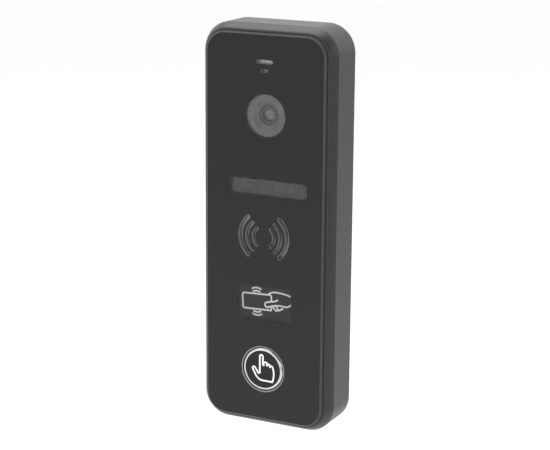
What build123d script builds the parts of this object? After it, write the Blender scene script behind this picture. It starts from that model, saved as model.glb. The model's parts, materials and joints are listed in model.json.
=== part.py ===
from build123d import *
# Door intercom panel: a slim outdoor station that hangs on a wall bracket.
#
# Frame: for a person facing the panel, +X is to the right, +Z is up and +Y goes into the wall.
# The origin is the middle of the bracket's back face, on the wall.
# A depth is a distance in front of the wall, so a point at depth d lies at Y = -d.
# All sizes are in millimetres.
import os
from math import asin, atan2, cos, degrees, hypot, sin

# ---------------------------------------------------------------- driving dimensions
BODY_WIDTH = 51.1
BODY_HEIGHT = 144.0
BODY_CORNER = 10.0
STRAIGHT_DEPTH = 13.5
BAND_INSET = 1.9
RIM_FRONT = 17.0
SIDE_WALL = 1.8
LEDGE_WIDTH = 1.1

# Depths of the layers, from the wall outwards.
BRACKET_THICKNESS = 1.5
COVER_BACK = 3.6
COVER_FRONT = 5.2
LEDGE_BACK = 5.6
BOARD_BACK = 8.4
BOARD_FRONT = 9.6
WALL_BACK = 14.6
WALL_FRONT = 16.2
PRINT_BACK = 16.4
PANE_BACK = 16.6
PANE_FRONT = 18.4

PANE_INSET = 2.7
PANE_BEVEL = 0.55
POCKET_INSET = 2.6

# Features of the face, each by the place of its centre.
MIC_SLOT_Z = 59.6
MIC_SLOT_LENGTH = 6.1
MIC_SLOT_WIDTH = 1.3
SENSOR_SLOT_Z = 56.5
SENSOR_SLOT_LENGTH = 2.7
SENSOR_SLOT_WIDTH = 1.0
MIC_Z = 62.2
CAMERA_Z = 40.8
CAMERA_WINDOW_RADIUS = 7.4
LAMP_X = 1.3
LAMP_Z = 15.6
LAMP_WINDOW_LENGTH = 28.8
LAMP_WINDOW_HEIGHT = 5.2
LAMP_WINDOW_CORNER = 1.6
LAMP_PITCH = 6.3
LAMP_COUNT = 4
SPEAKER_Z = -1.9
SPEAKER_RADIUS = 13.0
SOUND_SLOT_ANGLE = 48.0
SOUND_SLOTS = ((4.0, 1.3), (6.5, 1.4), (9.1, 1.6))
READER_Z = -27.0
CARD_TILT = 2.2
CARD_SHIFT = (-1.05, -0.2)
BUTTON_Z = -50.25
BUTTON_HOLE_RADIUS = 8.7
BUTTON_TRAVEL = 0.6

STROKE = 0.62
GAP = 0.1

COVER_SCREW_X = 20.5
COVER_SCREW_Z = 60.0
BOARD_SCREW_X = 13.5
BOARD_SCREW_Z = 61.0
BOARD_WIDTH = 35.4
BOARD_HEIGHT = 130.0

os.makedirs("parts", exist_ok=True)


# ---------------------------------------------------------------- shared shapes
def at(depth):
    """Return the plane at a depth, with local x along X, local y along Z and its normal outwards."""
    return Plane.XZ.offset(depth)


def body_outline(inset, mode=Mode.ADD):
    """Draw the panel's outline, moved inwards."""
    RectangleRounded(BODY_WIDTH - 2 * inset, BODY_HEIGHT - 2 * inset, BODY_CORNER - inset, mode=mode)


def turned(outline, x=0, z=0):
    """Return a solid turned about the Y line through (x, z), from (radius, depth) corners."""
    with BuildPart() as solid:
        with BuildSketch(Plane(origin=(x, 0, z), x_dir=(1, 0, 0), z_dir=(0, 0, 1))):
            with BuildLine():
                Polyline(*[(radius, -depth) for radius, depth in outline], close=True)
            make_face()
        revolve(axis=Axis((x, 0, z), (0, 1, 0)))
    return solid.part


def tube(outer, inner, back, front, x=0, z=0):
    """Return a plain ring between two depths."""
    return turned([(inner, back), (outer, back), (outer, front), (inner, front)], x, z)


def lens(radius, back, rim, front, z):
    """Return a lens with a flat back and a domed front that meets the rim at its own depth."""
    sag = front - rim
    dome = (radius ** 2 + sag ** 2) / (2 * sag)
    half = asin(radius / dome) / 2
    with BuildPart() as solid:
        with BuildSketch(Plane.XY.offset(z)):
            with BuildLine():
                Polyline((0, -front), (0, -back), (radius, -back), (radius, -rim))
                ThreePointArc((radius, -rim), (dome * sin(half), -front + dome * (1 - cos(half))), (0, -front))
            make_face()
        revolve(axis=Axis((0, 0, z), (0, 1, 0)))
    return solid.part


def screw(x, z, head_radius, head_back, head_front, shank_radius, shank_end):
    """Return a flat-head screw driven outwards from behind, with a cross slot in its head."""
    slot = head_radius * 0.35
    with BuildPart() as solid:
        add(turned([(0, head_back), (head_radius, head_back), (shank_radius, head_front),
                    (shank_radius, shank_end), (0, shank_end)], x, z))
        with BuildSketch(at(head_back)):
            with Locations((x, z)):
                Rectangle(head_radius * 1.2, slot)
                Rectangle(slot, head_radius * 1.2)
        extrude(amount=(head_front - head_back) * 0.6, mode=Mode.SUBTRACT)
    return solid.part


def stroke(*points):
    """Draw a line of even width with round ends and corners through the points."""
    for (x0, z0), (x1, z1) in zip(points, points[1:]):
        with Locations(((x0 + x1) / 2, (z0 + z1) / 2)):
            SlotCenterToCenter(hypot(x1 - x0, z1 - z0), STROKE, rotation=degrees(atan2(z1 - z0, x1 - x0)))


def bow(start, middle, end):
    """Draw a curved line of even width with round ends through three points."""
    SlotArc(Edge.make_three_point_arc(start, middle, end), STROKE)


def sound_slots():
    """Draw the curved sound slots, left and right of the speaker's middle."""
    for radius, width in SOUND_SLOTS:
        for facing in (0, 180):
            arc = Edge.make_circle(radius, Plane((0, SPEAKER_Z, 0)), facing - SOUND_SLOT_ANGLE,
                                   facing + SOUND_SLOT_ANGLE)
            SlotArc(arc, width)


def small_slots():
    """Draw the microphone slot and the light sensor slot."""
    with Locations((0, MIC_SLOT_Z)):
        SlotOverall(MIC_SLOT_LENGTH, MIC_SLOT_WIDTH)
    with Locations((0, SENSOR_SLOT_Z)):
        SlotOverall(SENSOR_SLOT_LENGTH, SENSOR_SLOT_WIDTH)


def card_pictogram():
    """Draw a hand that holds a card between two pairs of radio waves, turned a little."""
    left, right, top, bottom = -8.7, 2.6, -22.75, -28.35
    corner = 0.5
    middle = (left + right) / 2
    with Locations(Location((*CARD_SHIFT, 0), (0, 0, CARD_TILT))):
        stroke((right - 0.2, top), (left + corner, top), (left, top - corner), (left, bottom + corner),
               (left + corner, bottom), (right - 0.1, bottom), (right, bottom + 0.9))
        stroke((right - 0.2, top), (right + 0.1, top - corner), (right + 0.1, top - 1.9))
        for side, edge in ((1, top), (-1, bottom)):
            for reach, half_span, sag in ((1.1, 1.3, 0.3), (2.25, 1.7, 0.45)):
                bow((middle - half_span, edge + side * (reach - sag)), (middle, edge + side * reach),
                    (middle + half_span, edge + side * (reach - sag)))
        # The back of the hand, the finger on the card, the palm and three finger tips.
        bow((1.4, -22.65), (2.9, -21.8), (4.5, -21.6))
        bow((4.5, -21.6), (7.3, -21.85), (10.0, -22.5))
        stroke((0.9, -25.5), (2.6, -25.1))
        bow((2.6, -25.1), (4.0, -24.9), (5.1, -24.4))
        bow((0.9, -25.5), (0.1, -26.4), (1.5, -27.2))
        bow((1.5, -27.2), (4.7, -26.4), (7.4, -26.5))
        bow((7.4, -26.5), (8.8, -26.5), (10.1, -25.8))
        stroke((3.2, -27.0), (4.3, -28.35))
        stroke((4.6, -26.9), (5.6, -28.1), (7.0, -27.3))
        stroke((4.3, -28.35), (5.0, -28.1))


def hand_pictogram():
    """Draw a hand with one finger that points up, about the button's middle."""
    finger_left, finger_right = -1.3, -0.1
    finger_base = BUTTON_Z + 4.6
    notch = BUTTON_Z + 1.45
    thumb = BUTTON_Z - 0.35
    web = thumb - 1.2
    palm = BUTTON_Z - 4.3
    bow((finger_left, finger_base), ((finger_left + finger_right) / 2, finger_base + 0.6),
        (finger_right, finger_base))
    stroke((finger_left, finger_base), (finger_left, web))
    stroke((finger_right, finger_base), (finger_right, notch + 0.15), (0.25, notch))
    bow((0.25, notch), (0.9, notch + 1.2), (1.65, notch + 0.1))
    bow((1.45, notch + 0.2), (2.2, notch + 0.65), (2.75, notch - 0.3))
    bow((2.65, notch - 0.1), (3.4, notch + 0.05), (3.85, notch - 0.5))
    bow((3.85, notch - 0.5), (4.25, BUTTON_Z - 1.7), (3.7, palm))
    stroke((3.7, palm), (-0.4, palm + 0.05))
    bow((-0.4, palm + 0.05), (-2.4, palm + 1.05), (-3.2, palm + 2.3))
    stroke((-3.2, palm + 2.3), (-4.15, thumb))
    bow((-4.15, thumb), (-3.8, thumb + 0.75), (-3.1, thumb + 0.5))
    stroke((-3.1, thumb + 0.5), (-1.85, web - 0.15), (finger_left, web))


def save(piece, name):
    """Label a finished piece and write it."""
    piece.part.label = name
    export_step(piece.part, f"parts/{name}.step")


# ---------------------------------------------------------------- wall bracket and rear cover
BRACKET_WIDTH = 40.0
BRACKET_TOP = 58.0
BRACKET_BOTTOM = -66.3
BRACKET_HOLE_Z = 48.0
BRACKET_HOLE_RADIUS = 2.2
HOOK_X = 10.0
HOOK_WIDTH = 6.0
HOOK_BOTTOM = 49.0
HOOK_TOP = 50.4
HOOK_TIP = 52.6
HOOK_FRONT = 6.5
LIP_WIDTH = 12.0
LIP_DEPTH = 3.4
LIP_THICKNESS = 1.5
CABLE_Z = 20.0
BRACKET_CORNER = 5.0
CABLE_OPENING = (26.0, 28.0)
CABLE_OPENING_CORNER = 4.0
CABLE_OPENING_RISE = 1.0
LOCK_SCREW_DEPTH = 2.0
LOCK_HEAD_RADIUS = 1.6
LOCK_HEAD_HEIGHT = 0.9
LOCK_SHANK_RADIUS = 0.95
LOCK_KEY_RADIUS = 0.75
LOCK_KEY_DEPTH = 0.5
TRIMMER_X, OPTION_X, SETTINGS_Z = 10.0, -9.0, -14.0

with BuildPart() as wall_bracket:
    with BuildSketch(at(0)):
        with Locations((0, (BRACKET_TOP + BRACKET_BOTTOM) / 2)):
            RectangleRounded(BRACKET_WIDTH, BRACKET_TOP - BRACKET_BOTTOM, BRACKET_CORNER)
        with Locations((0, CABLE_Z + CABLE_OPENING_RISE)):
            RectangleRounded(*CABLE_OPENING, CABLE_OPENING_CORNER, mode=Mode.SUBTRACT)
        with Locations((0, BRACKET_HOLE_Z), (0, -BRACKET_HOLE_Z)):
            Circle(BRACKET_HOLE_RADIUS, mode=Mode.SUBTRACT)
    extrude(amount=BRACKET_THICKNESS)
    with BuildSketch(at(BRACKET_THICKNESS)):
        with Locations((-HOOK_X, (HOOK_BOTTOM + HOOK_TOP) / 2), (HOOK_X, (HOOK_BOTTOM + HOOK_TOP) / 2)):
            Rectangle(HOOK_WIDTH, HOOK_TOP - HOOK_BOTTOM)
    extrude(amount=HOOK_FRONT - BRACKET_THICKNESS)
    with BuildSketch(at(COVER_FRONT + GAP)):
        with Locations((-HOOK_X, (HOOK_TOP + HOOK_TIP) / 2), (HOOK_X, (HOOK_TOP + HOOK_TIP) / 2)):
            Rectangle(HOOK_WIDTH, HOOK_TIP - HOOK_TOP)
    extrude(amount=HOOK_FRONT - COVER_FRONT - GAP)
    with BuildSketch(at(BRACKET_THICKNESS)):
        with Locations((0, BRACKET_BOTTOM + LIP_THICKNESS / 2)):
            Rectangle(LIP_WIDTH, LIP_THICKNESS)
    extrude(amount=LIP_DEPTH - BRACKET_THICKNESS)
    with BuildSketch(Plane.XY.offset(BRACKET_BOTTOM)):
        with Locations((0, -LOCK_SCREW_DEPTH)):
            Circle(LOCK_SHANK_RADIUS + GAP / 2)
    extrude(amount=LIP_THICKNESS, mode=Mode.SUBTRACT)
save(wall_bracket, "wall_bracket")

# The screw that locks the panel to the bracket's lower lip, driven upwards from below.
with BuildPart() as retaining_screw:
    with BuildSketch(Plane.XY.offset(-BODY_HEIGHT / 2)):
        with Locations((0, -LOCK_SCREW_DEPTH)):
            Circle(LOCK_HEAD_RADIUS)
            RegularPolygon(LOCK_KEY_RADIUS, 6, mode=Mode.SUBTRACT)
    extrude(amount=LOCK_HEAD_HEIGHT)
    with BuildSketch(Plane.XY.offset(-BODY_HEIGHT / 2 + LOCK_KEY_DEPTH)):
        with Locations((0, -LOCK_SCREW_DEPTH)):
            Circle(LOCK_SHANK_RADIUS)
    extrude(amount=BRACKET_BOTTOM + LIP_THICKNESS + BODY_HEIGHT / 2 - LOCK_KEY_DEPTH)
save(retaining_screw, "retaining_screw")

cover_screw_places = [(side * COVER_SCREW_X, row * COVER_SCREW_Z) for side in (-1, 1) for row in (-1, 0, 1)]
board_screw_places = [(side * BOARD_SCREW_X, row * BOARD_SCREW_Z) for side in (-1, 1) for row in (-1, 1)]
COVER_HEAD_RADIUS = 1.9
COVER_HEAD_FRONT = COVER_BACK + 1.0
COVER_SHANK_RADIUS = 1.1
COVER_SCREW_END = 11.0
COVER_BOSS_RADIUS = 2.2
SCREW_CLEARANCE = 0.15
HOOK_SLOT_HEIGHT = 4.0
TRIMMER_ACCESS_RADIUS = 1.6
OPTION_ACCESS = (6.6, 3.6)
OPTION_ACCESS_CORNER = 0.5
GASKET_WIDTH = 0.8
GROMMET_SEAT_RADIUS = 4.6
GROMMET_BORE_RADIUS = 2.8
GROMMET_FLANGE_RADIUS = 6.0
GROMMET_FLANGE_HEIGHT = 1.0
GROMMET_BARB_RADIUS = 5.8
GROMMET_TIP_RADIUS = 5.2
GROMMET_BARB_HEIGHT = 0.8

with BuildPart() as rear_cover:
    with BuildSketch(at(COVER_BACK)):
        body_outline(SIDE_WALL + GAP)
        with Locations((0, CABLE_Z)):
            Circle(GROMMET_SEAT_RADIUS, mode=Mode.SUBTRACT)
        with Locations(*[(side * HOOK_X, HOOK_TOP - HOOK_SLOT_HEIGHT / 2) for side in (-1, 1)]):
            Rectangle(HOOK_WIDTH + 1, HOOK_SLOT_HEIGHT, mode=Mode.SUBTRACT)
        with Locations((TRIMMER_X, SETTINGS_Z)):
            Circle(TRIMMER_ACCESS_RADIUS, mode=Mode.SUBTRACT)
        with Locations((OPTION_X, SETTINGS_Z)):
            RectangleRounded(*OPTION_ACCESS, OPTION_ACCESS_CORNER, mode=Mode.SUBTRACT)
    extrude(amount=COVER_FRONT - COVER_BACK)
    with BuildSketch(at(COVER_FRONT)):
        with Locations(*cover_screw_places):
            Circle(COVER_BOSS_RADIUS)
    extrude(amount=LEDGE_BACK - COVER_FRONT)
    with BuildSketch(at(COVER_BACK)):
        with Locations(*cover_screw_places):
            Circle(COVER_SHANK_RADIUS + SCREW_CLEARANCE)
    extrude(amount=LEDGE_BACK - COVER_BACK, mode=Mode.SUBTRACT)
    for x, z in cover_screw_places:
        add(turned([(0, COVER_BACK), (COVER_HEAD_RADIUS, COVER_BACK), (COVER_SHANK_RADIUS, COVER_HEAD_FRONT),
                    (0, COVER_HEAD_FRONT)], x, z), mode=Mode.SUBTRACT)
save(rear_cover, "rear_cover")

with BuildPart() as cover_screws:
    for x, z in cover_screw_places:
        add(screw(x, z, COVER_HEAD_RADIUS, COVER_BACK, COVER_HEAD_FRONT, COVER_SHANK_RADIUS,
                  COVER_SCREW_END))
save(cover_screws, "cover_screws")

with BuildPart() as housing_gasket:
    with BuildSketch(at(COVER_FRONT)):
        body_outline(SIDE_WALL + GAP)
        body_outline(SIDE_WALL + GAP + GASKET_WIDTH, mode=Mode.SUBTRACT)
    extrude(amount=LEDGE_BACK - COVER_FRONT)
save(housing_gasket, "housing_gasket")

with BuildPart() as cable_grommet:
    add(turned([(GROMMET_BORE_RADIUS, COVER_BACK - GROMMET_FLANGE_HEIGHT),
                (GROMMET_FLANGE_RADIUS, COVER_BACK - GROMMET_FLANGE_HEIGHT),
                (GROMMET_FLANGE_RADIUS, COVER_BACK),
                (GROMMET_SEAT_RADIUS, COVER_BACK), (GROMMET_SEAT_RADIUS, COVER_FRONT),
                (GROMMET_BARB_RADIUS, COVER_FRONT), (GROMMET_TIP_RADIUS, COVER_FRONT + GROMMET_BARB_HEIGHT),
                (GROMMET_BORE_RADIUS, COVER_FRONT + GROMMET_BARB_HEIGHT)], z=CABLE_Z))
save(cable_grommet, "cable_grommet")

# ---------------------------------------------------------------- front housing
CAMERA_BORE_RADIUS = 7.55
LAMP_SLOT_LENGTH = 30.2
LAMP_SLOT_HEIGHT = 6.6
MESH_RADIUS = 10.6
READER_OPENING = (31.0, 18.0)
BUTTON_BORE_RADIUS = 8.9
OPENING_CORNER = 2.0
BOSS_RADIUS = 2.5
BOARD_BOSS_RADIUS = 2.2
BOARD_SHANK_RADIUS = 0.9
COVER_PILOT_DEPTH = 6.0
BOARD_PILOT_DEPTH = 4.0
CLOTH_BACK = 15.8
CLOTH_SIZE = (9.6, 7.6)
CLOTH_Z = 58.4
CLOTH_CORNER = 1.0
CLOTH_MARGIN = 1.0
MIC_PORT_RADIUS = 1.0
LIGHT_GUIDE_RADIUS = 0.9

with BuildPart() as front_housing:
    with BuildSketch(at(0)):
        body_outline(0)
    extrude(amount=STRAIGHT_DEPTH)
    with BuildSketch(at(STRAIGHT_DEPTH)):
        body_outline(0)
    extrude(amount=RIM_FRONT - STRAIGHT_DEPTH, taper=degrees(atan2(BAND_INSET, RIM_FRONT - STRAIGHT_DEPTH)))
    with BuildSketch(at(0)):
        body_outline(SIDE_WALL)
    extrude(amount=LEDGE_BACK, mode=Mode.SUBTRACT)
    with BuildSketch(at(LEDGE_BACK)):
        body_outline(SIDE_WALL + LEDGE_WIDTH)
    extrude(amount=WALL_BACK - LEDGE_BACK, mode=Mode.SUBTRACT)
    with BuildSketch(at(LEDGE_BACK)):
        with Locations(*cover_screw_places):
            Circle(BOSS_RADIUS)
    extrude(amount=WALL_BACK - LEDGE_BACK)
    with BuildSketch(at(BOARD_FRONT)):
        with Locations(*board_screw_places):
            Circle(BOARD_BOSS_RADIUS)
    extrude(amount=WALL_BACK - BOARD_FRONT)
    with BuildSketch(at(LEDGE_BACK)):
        with Locations(*cover_screw_places):
            Circle(COVER_SHANK_RADIUS)
    extrude(amount=COVER_PILOT_DEPTH, mode=Mode.SUBTRACT)
    with BuildSketch(at(BOARD_FRONT)):
        with Locations(*board_screw_places):
            Circle(BOARD_SHANK_RADIUS)
    extrude(amount=BOARD_PILOT_DEPTH, mode=Mode.SUBTRACT)
    # The pocket for the pane, then the openings through the front wall.
    with BuildSketch(at(WALL_FRONT)):
        body_outline(POCKET_INSET)
    extrude(amount=RIM_FRONT - WALL_FRONT, mode=Mode.SUBTRACT)
    with BuildSketch(at(WALL_BACK)):
        with Locations((0, MIC_SLOT_Z)):
            Circle(MIC_PORT_RADIUS)
        with Locations((0, SENSOR_SLOT_Z)):
            Circle(LIGHT_GUIDE_RADIUS)
        with Locations((0, CAMERA_Z)):
            Circle(CAMERA_BORE_RADIUS)
        with Locations((LAMP_X, LAMP_Z)):
            RectangleRounded(LAMP_SLOT_LENGTH, LAMP_SLOT_HEIGHT, OPENING_CORNER)
        with Locations((0, SPEAKER_Z)):
            Circle(MESH_RADIUS)
        with Locations((0, READER_Z)):
            RectangleRounded(*READER_OPENING, OPENING_CORNER)
        with Locations((0, BUTTON_Z)):
            Circle(BUTTON_BORE_RADIUS)
    extrude(amount=WALL_FRONT - WALL_BACK, mode=Mode.SUBTRACT)
    with BuildSketch(at(CLOTH_BACK)):
        with Locations((0, CLOTH_Z)):
            RectangleRounded(*CLOTH_SIZE, CLOTH_CORNER)
    extrude(amount=WALL_FRONT - CLOTH_BACK, mode=Mode.SUBTRACT)
    # The way in for the retaining screw, from below.
    with BuildSketch(Plane.XY.offset(-BODY_HEIGHT / 2)):
        with Locations((0, -LOCK_SCREW_DEPTH)):
            Circle(LOCK_HEAD_RADIUS + GAP)
    extrude(amount=LOCK_HEAD_HEIGHT, mode=Mode.SUBTRACT)
    with BuildSketch(Plane.XY.offset(-BODY_HEIGHT / 2)):
        with Locations((0, -LOCK_SCREW_DEPTH)):
            Circle(LOCK_SHANK_RADIUS + SCREW_CLEARANCE)
    extrude(amount=SIDE_WALL, mode=Mode.SUBTRACT)
save(front_housing, "front_housing")

# ---------------------------------------------------------------- front pane, print and adhesive
ADHESIVE_MARGIN = 0.3

with BuildPart() as pane_adhesive:
    with BuildSketch(at(WALL_FRONT)):
        body_outline(PANE_INSET + ADHESIVE_MARGIN)
        with Locations((0, CLOTH_Z)):
            RectangleRounded(CLOTH_SIZE[0] - 2 * CLOTH_MARGIN, CLOTH_SIZE[1] - 2 * CLOTH_MARGIN, CLOTH_CORNER,
                             mode=Mode.SUBTRACT)
        with Locations((0, CAMERA_Z)):
            Circle(CAMERA_BORE_RADIUS, mode=Mode.SUBTRACT)
        with Locations((LAMP_X, LAMP_Z)):
            RectangleRounded(LAMP_SLOT_LENGTH, LAMP_SLOT_HEIGHT, OPENING_CORNER, mode=Mode.SUBTRACT)
        with Locations((0, SPEAKER_Z)):
            Circle(MESH_RADIUS, mode=Mode.SUBTRACT)
        with Locations((0, BUTTON_Z)):
            Circle(BUTTON_BORE_RADIUS + GAP, mode=Mode.SUBTRACT)
    extrude(amount=PRINT_BACK - WALL_FRONT)
save(pane_adhesive, "pane_adhesive")

with BuildPart() as pane_print:
    with BuildSketch(at(PRINT_BACK)):
        body_outline(PANE_INSET)
        with Locations((0, CAMERA_Z)):
            Circle(CAMERA_WINDOW_RADIUS, mode=Mode.SUBTRACT)
        with Locations((LAMP_X, LAMP_Z)):
            RectangleRounded(LAMP_WINDOW_LENGTH, LAMP_WINDOW_HEIGHT, LAMP_WINDOW_CORNER, mode=Mode.SUBTRACT)
        with Locations((0, BUTTON_Z)):
            Circle(BUTTON_HOLE_RADIUS, mode=Mode.SUBTRACT)
    extrude(amount=PANE_BACK - PRINT_BACK)
    with BuildSketch(at(PRINT_BACK)):
        small_slots()
        sound_slots()
        card_pictogram()
    extrude(amount=PANE_BACK - PRINT_BACK, mode=Mode.SUBTRACT)
save(pane_print, "pane_print")

with BuildPart() as card_icon:
    with BuildSketch(at(PRINT_BACK)):
        card_pictogram()
    extrude(amount=PANE_BACK - PRINT_BACK)
save(card_icon, "card_icon")

with BuildPart() as front_pane:
    with BuildSketch(at(PANE_BACK)):
        body_outline(PANE_INSET)
    extrude(amount=PANE_FRONT - PANE_BACK)
    chamfer(front_pane.faces().sort_by(Axis.Y)[0].edges(), PANE_BEVEL)
    with BuildSketch(at(PANE_BACK)):
        small_slots()
        sound_slots()
        with Locations((0, BUTTON_Z)):
            Circle(BUTTON_HOLE_RADIUS)
    extrude(amount=PANE_FRONT - PANE_BACK, mode=Mode.SUBTRACT)
save(front_pane, "front_pane")

# ---------------------------------------------------------------- microphone and light sensor
MIC_RADIUS = 3.0
MIC_BACK = 11.6
MIC_FRONT = 14.2
MIC_ROUND = 0.3
BOOT_RADIUS = 4.2
BOOT_BACK = 10.8
SENSOR_SIZE = (3.2, 2.0)
SENSOR_FRONT = BOARD_FRONT + 1.0

with BuildPart() as microphone_cloth:
    with BuildSketch(at(CLOTH_BACK)):
        with Locations((0, CLOTH_Z)):
            RectangleRounded(CLOTH_SIZE[0] - GAP, CLOTH_SIZE[1] - GAP, CLOTH_CORNER - GAP)
    extrude(amount=WALL_FRONT - CLOTH_BACK)
save(microphone_cloth, "microphone_cloth")

with BuildPart() as microphone:
    add(turned([(0, MIC_BACK), (MIC_RADIUS, MIC_BACK), (MIC_RADIUS, MIC_FRONT - MIC_ROUND),
                (MIC_RADIUS - MIC_ROUND, MIC_FRONT), (0, MIC_FRONT)], z=MIC_Z))
save(microphone, "microphone")

with BuildPart() as microphone_boot:
    add(turned([(0, BOOT_BACK), (BOOT_RADIUS, BOOT_BACK), (BOOT_RADIUS, WALL_BACK), (MIC_RADIUS, WALL_BACK),
                (MIC_RADIUS, MIC_BACK), (0, MIC_BACK)], z=MIC_Z))
save(microphone_boot, "microphone_boot")

with BuildPart() as light_sensor:
    with BuildSketch(at(BOARD_FRONT)):
        with Locations((0, SENSOR_SLOT_Z)):
            Rectangle(*SENSOR_SIZE)
    extrude(amount=SENSOR_FRONT - BOARD_FRONT)
save(light_sensor, "light_sensor")

with BuildPart() as light_guide:
    with BuildSketch(at(SENSOR_FRONT)):
        with Locations((0, SENSOR_SLOT_Z)):
            Circle(LIGHT_GUIDE_RADIUS)
    extrude(amount=CLOTH_BACK - SENSOR_FRONT)
save(light_guide, "light_guide")

# ---------------------------------------------------------------- camera
LENS_RADIUS = 2.2
BARREL_RADIUS = 3.1
BARREL_FRONT = 14.7
LENS_SEAT = 13.3
REAR_LENS_RADIUS = 1.7
CAMERA_BOARD_BACK = 10.2
CAMERA_BOARD_FRONT = 11.0
HOLDER_FRONT = 13.4
HOLDER_SIZE = 9.0
HOLDER_CORNER = 0.8
HOLDER_WELL = 5.6
BARREL_BACK = 12.0
BEZEL_BACK = 13.8
BEZEL_FLANGE_RADIUS = 8.4
BEZEL_BORE_RADIUS = 3.4
BEZEL_MOUTH_RADIUS = 5.2
BEZEL_STEP_RADIUS = 4.0
IMAGE_SENSOR = (5.0, 4.4)
IMAGE_SENSOR_HEIGHT = 0.7
CAMERA_BOARD_SIZE = 14.0
CAMERA_BOARD_CORNER = 1.0
CAMERA_HEADER = (10.0, 2.0)
CAMERA_HEADER_OFFSET = 5.5

with BuildPart() as camera_bezel:
    add(turned([(BEZEL_BORE_RADIUS, BEZEL_BACK), (BEZEL_FLANGE_RADIUS, BEZEL_BACK),
                (BEZEL_FLANGE_RADIUS, WALL_BACK), (CAMERA_BORE_RADIUS - GAP, WALL_BACK),
                (CAMERA_BORE_RADIUS - GAP, WALL_FRONT), (BEZEL_MOUTH_RADIUS, WALL_FRONT),
                (BEZEL_MOUTH_RADIUS - 0.3, WALL_FRONT - 0.3), (BEZEL_STEP_RADIUS, WALL_FRONT - 0.9),
                (BEZEL_BORE_RADIUS, WALL_FRONT - 1.3)], z=CAMERA_Z))
save(camera_bezel, "camera_bezel")

with BuildPart() as lens_barrel:
    add(turned([(REAR_LENS_RADIUS, BARREL_BACK), (BARREL_RADIUS, BARREL_BACK),
                (BARREL_RADIUS, BARREL_FRONT - 0.2), (BARREL_RADIUS - 0.2, BARREL_FRONT),
                (LENS_RADIUS + 0.3, BARREL_FRONT), (LENS_RADIUS, BARREL_FRONT - 0.3),
                (LENS_RADIUS, LENS_SEAT), (REAR_LENS_RADIUS, LENS_SEAT)], z=CAMERA_Z))
save(lens_barrel, "lens_barrel")

with BuildPart() as front_lens:
    add(lens(LENS_RADIUS, LENS_SEAT, LENS_SEAT + 0.5, LENS_SEAT + 1.2, CAMERA_Z))
save(front_lens, "front_lens")

with BuildPart() as rear_lens:
    add(lens(REAR_LENS_RADIUS, BARREL_BACK + 0.1, BARREL_BACK + 0.5, BARREL_BACK + 0.9, CAMERA_Z))
save(rear_lens, "rear_lens")

with BuildPart() as lens_holder:
    with BuildSketch(at(CAMERA_BOARD_FRONT)):
        with Locations((0, CAMERA_Z)):
            RectangleRounded(HOLDER_SIZE, HOLDER_SIZE, HOLDER_CORNER)
    extrude(amount=HOLDER_FRONT - CAMERA_BOARD_FRONT)
    with BuildSketch(at(CAMERA_BOARD_FRONT)):
        with Locations((0, CAMERA_Z)):
            Rectangle(HOLDER_WELL, HOLDER_WELL)
    extrude(amount=BARREL_BACK - CAMERA_BOARD_FRONT, mode=Mode.SUBTRACT)
    with BuildSketch(at(BARREL_BACK)):
        with Locations((0, CAMERA_Z)):
            Circle(BARREL_RADIUS)
    extrude(amount=HOLDER_FRONT - BARREL_BACK, mode=Mode.SUBTRACT)
save(lens_holder, "lens_holder")

with BuildPart() as image_sensor:
    with BuildSketch(at(CAMERA_BOARD_FRONT)):
        with Locations((0, CAMERA_Z)):
            Rectangle(*IMAGE_SENSOR)
    extrude(amount=IMAGE_SENSOR_HEIGHT)
save(image_sensor, "image_sensor")

with BuildPart() as camera_board:
    with BuildSketch(at(CAMERA_BOARD_BACK)):
        with Locations((0, CAMERA_Z)):
            RectangleRounded(CAMERA_BOARD_SIZE, CAMERA_BOARD_SIZE, CAMERA_BOARD_CORNER)
    extrude(amount=CAMERA_BOARD_FRONT - CAMERA_BOARD_BACK)
save(camera_board, "camera_board")

with BuildPart() as camera_header:
    with BuildSketch(at(BOARD_FRONT)):
        with Locations((0, CAMERA_Z - CAMERA_HEADER_OFFSET), (0, CAMERA_Z + CAMERA_HEADER_OFFSET)):
            Rectangle(*CAMERA_HEADER)
    extrude(amount=CAMERA_BOARD_BACK - BOARD_FRONT)
save(camera_header, "camera_header")

# ---------------------------------------------------------------- lamps
LAMP_BOARD_BACK = 11.4
LAMP_BOARD_FRONT = 12.2
LAMP_ROW_X = 0.5
FLANGE_BACK = 13.8
FLANGE_MARGIN = 0.8
LAMP_BOARD_SIZE = (30.0, 7.0)
LAMP_BOARD_CORNER = 0.8
SPACER_OFFSET = 13.0
SPACER_RADIUS = 1.2
LAMP_SIZE = (3.0, 2.8)
LAMP_CORNER = 0.3
LAMP_HEIGHT = 0.8
LAMP_DOME_RADIUS = 1.15
LAMP_DOME_HEIGHT = 0.5

with BuildPart() as lamp_window:
    with BuildSketch(at(FLANGE_BACK)):
        with Locations((LAMP_X, LAMP_Z)):
            RectangleRounded(LAMP_SLOT_LENGTH + 2 * FLANGE_MARGIN, LAMP_SLOT_HEIGHT + FLANGE_MARGIN,
                             OPENING_CORNER + FLANGE_MARGIN / 2)
    extrude(amount=WALL_BACK - FLANGE_BACK)
    with BuildSketch(at(WALL_BACK)):
        with Locations((LAMP_X, LAMP_Z)):
            RectangleRounded(LAMP_SLOT_LENGTH - 2 * GAP, LAMP_SLOT_HEIGHT - 2 * GAP, OPENING_CORNER - GAP)
    extrude(amount=WALL_FRONT - WALL_BACK)
save(lamp_window, "lamp_window")

with BuildPart() as lamp_board:
    with BuildSketch(at(LAMP_BOARD_BACK)):
        with Locations((LAMP_ROW_X, LAMP_Z)):
            RectangleRounded(*LAMP_BOARD_SIZE, LAMP_BOARD_CORNER)
    extrude(amount=LAMP_BOARD_FRONT - LAMP_BOARD_BACK)
save(lamp_board, "lamp_board")

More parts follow.
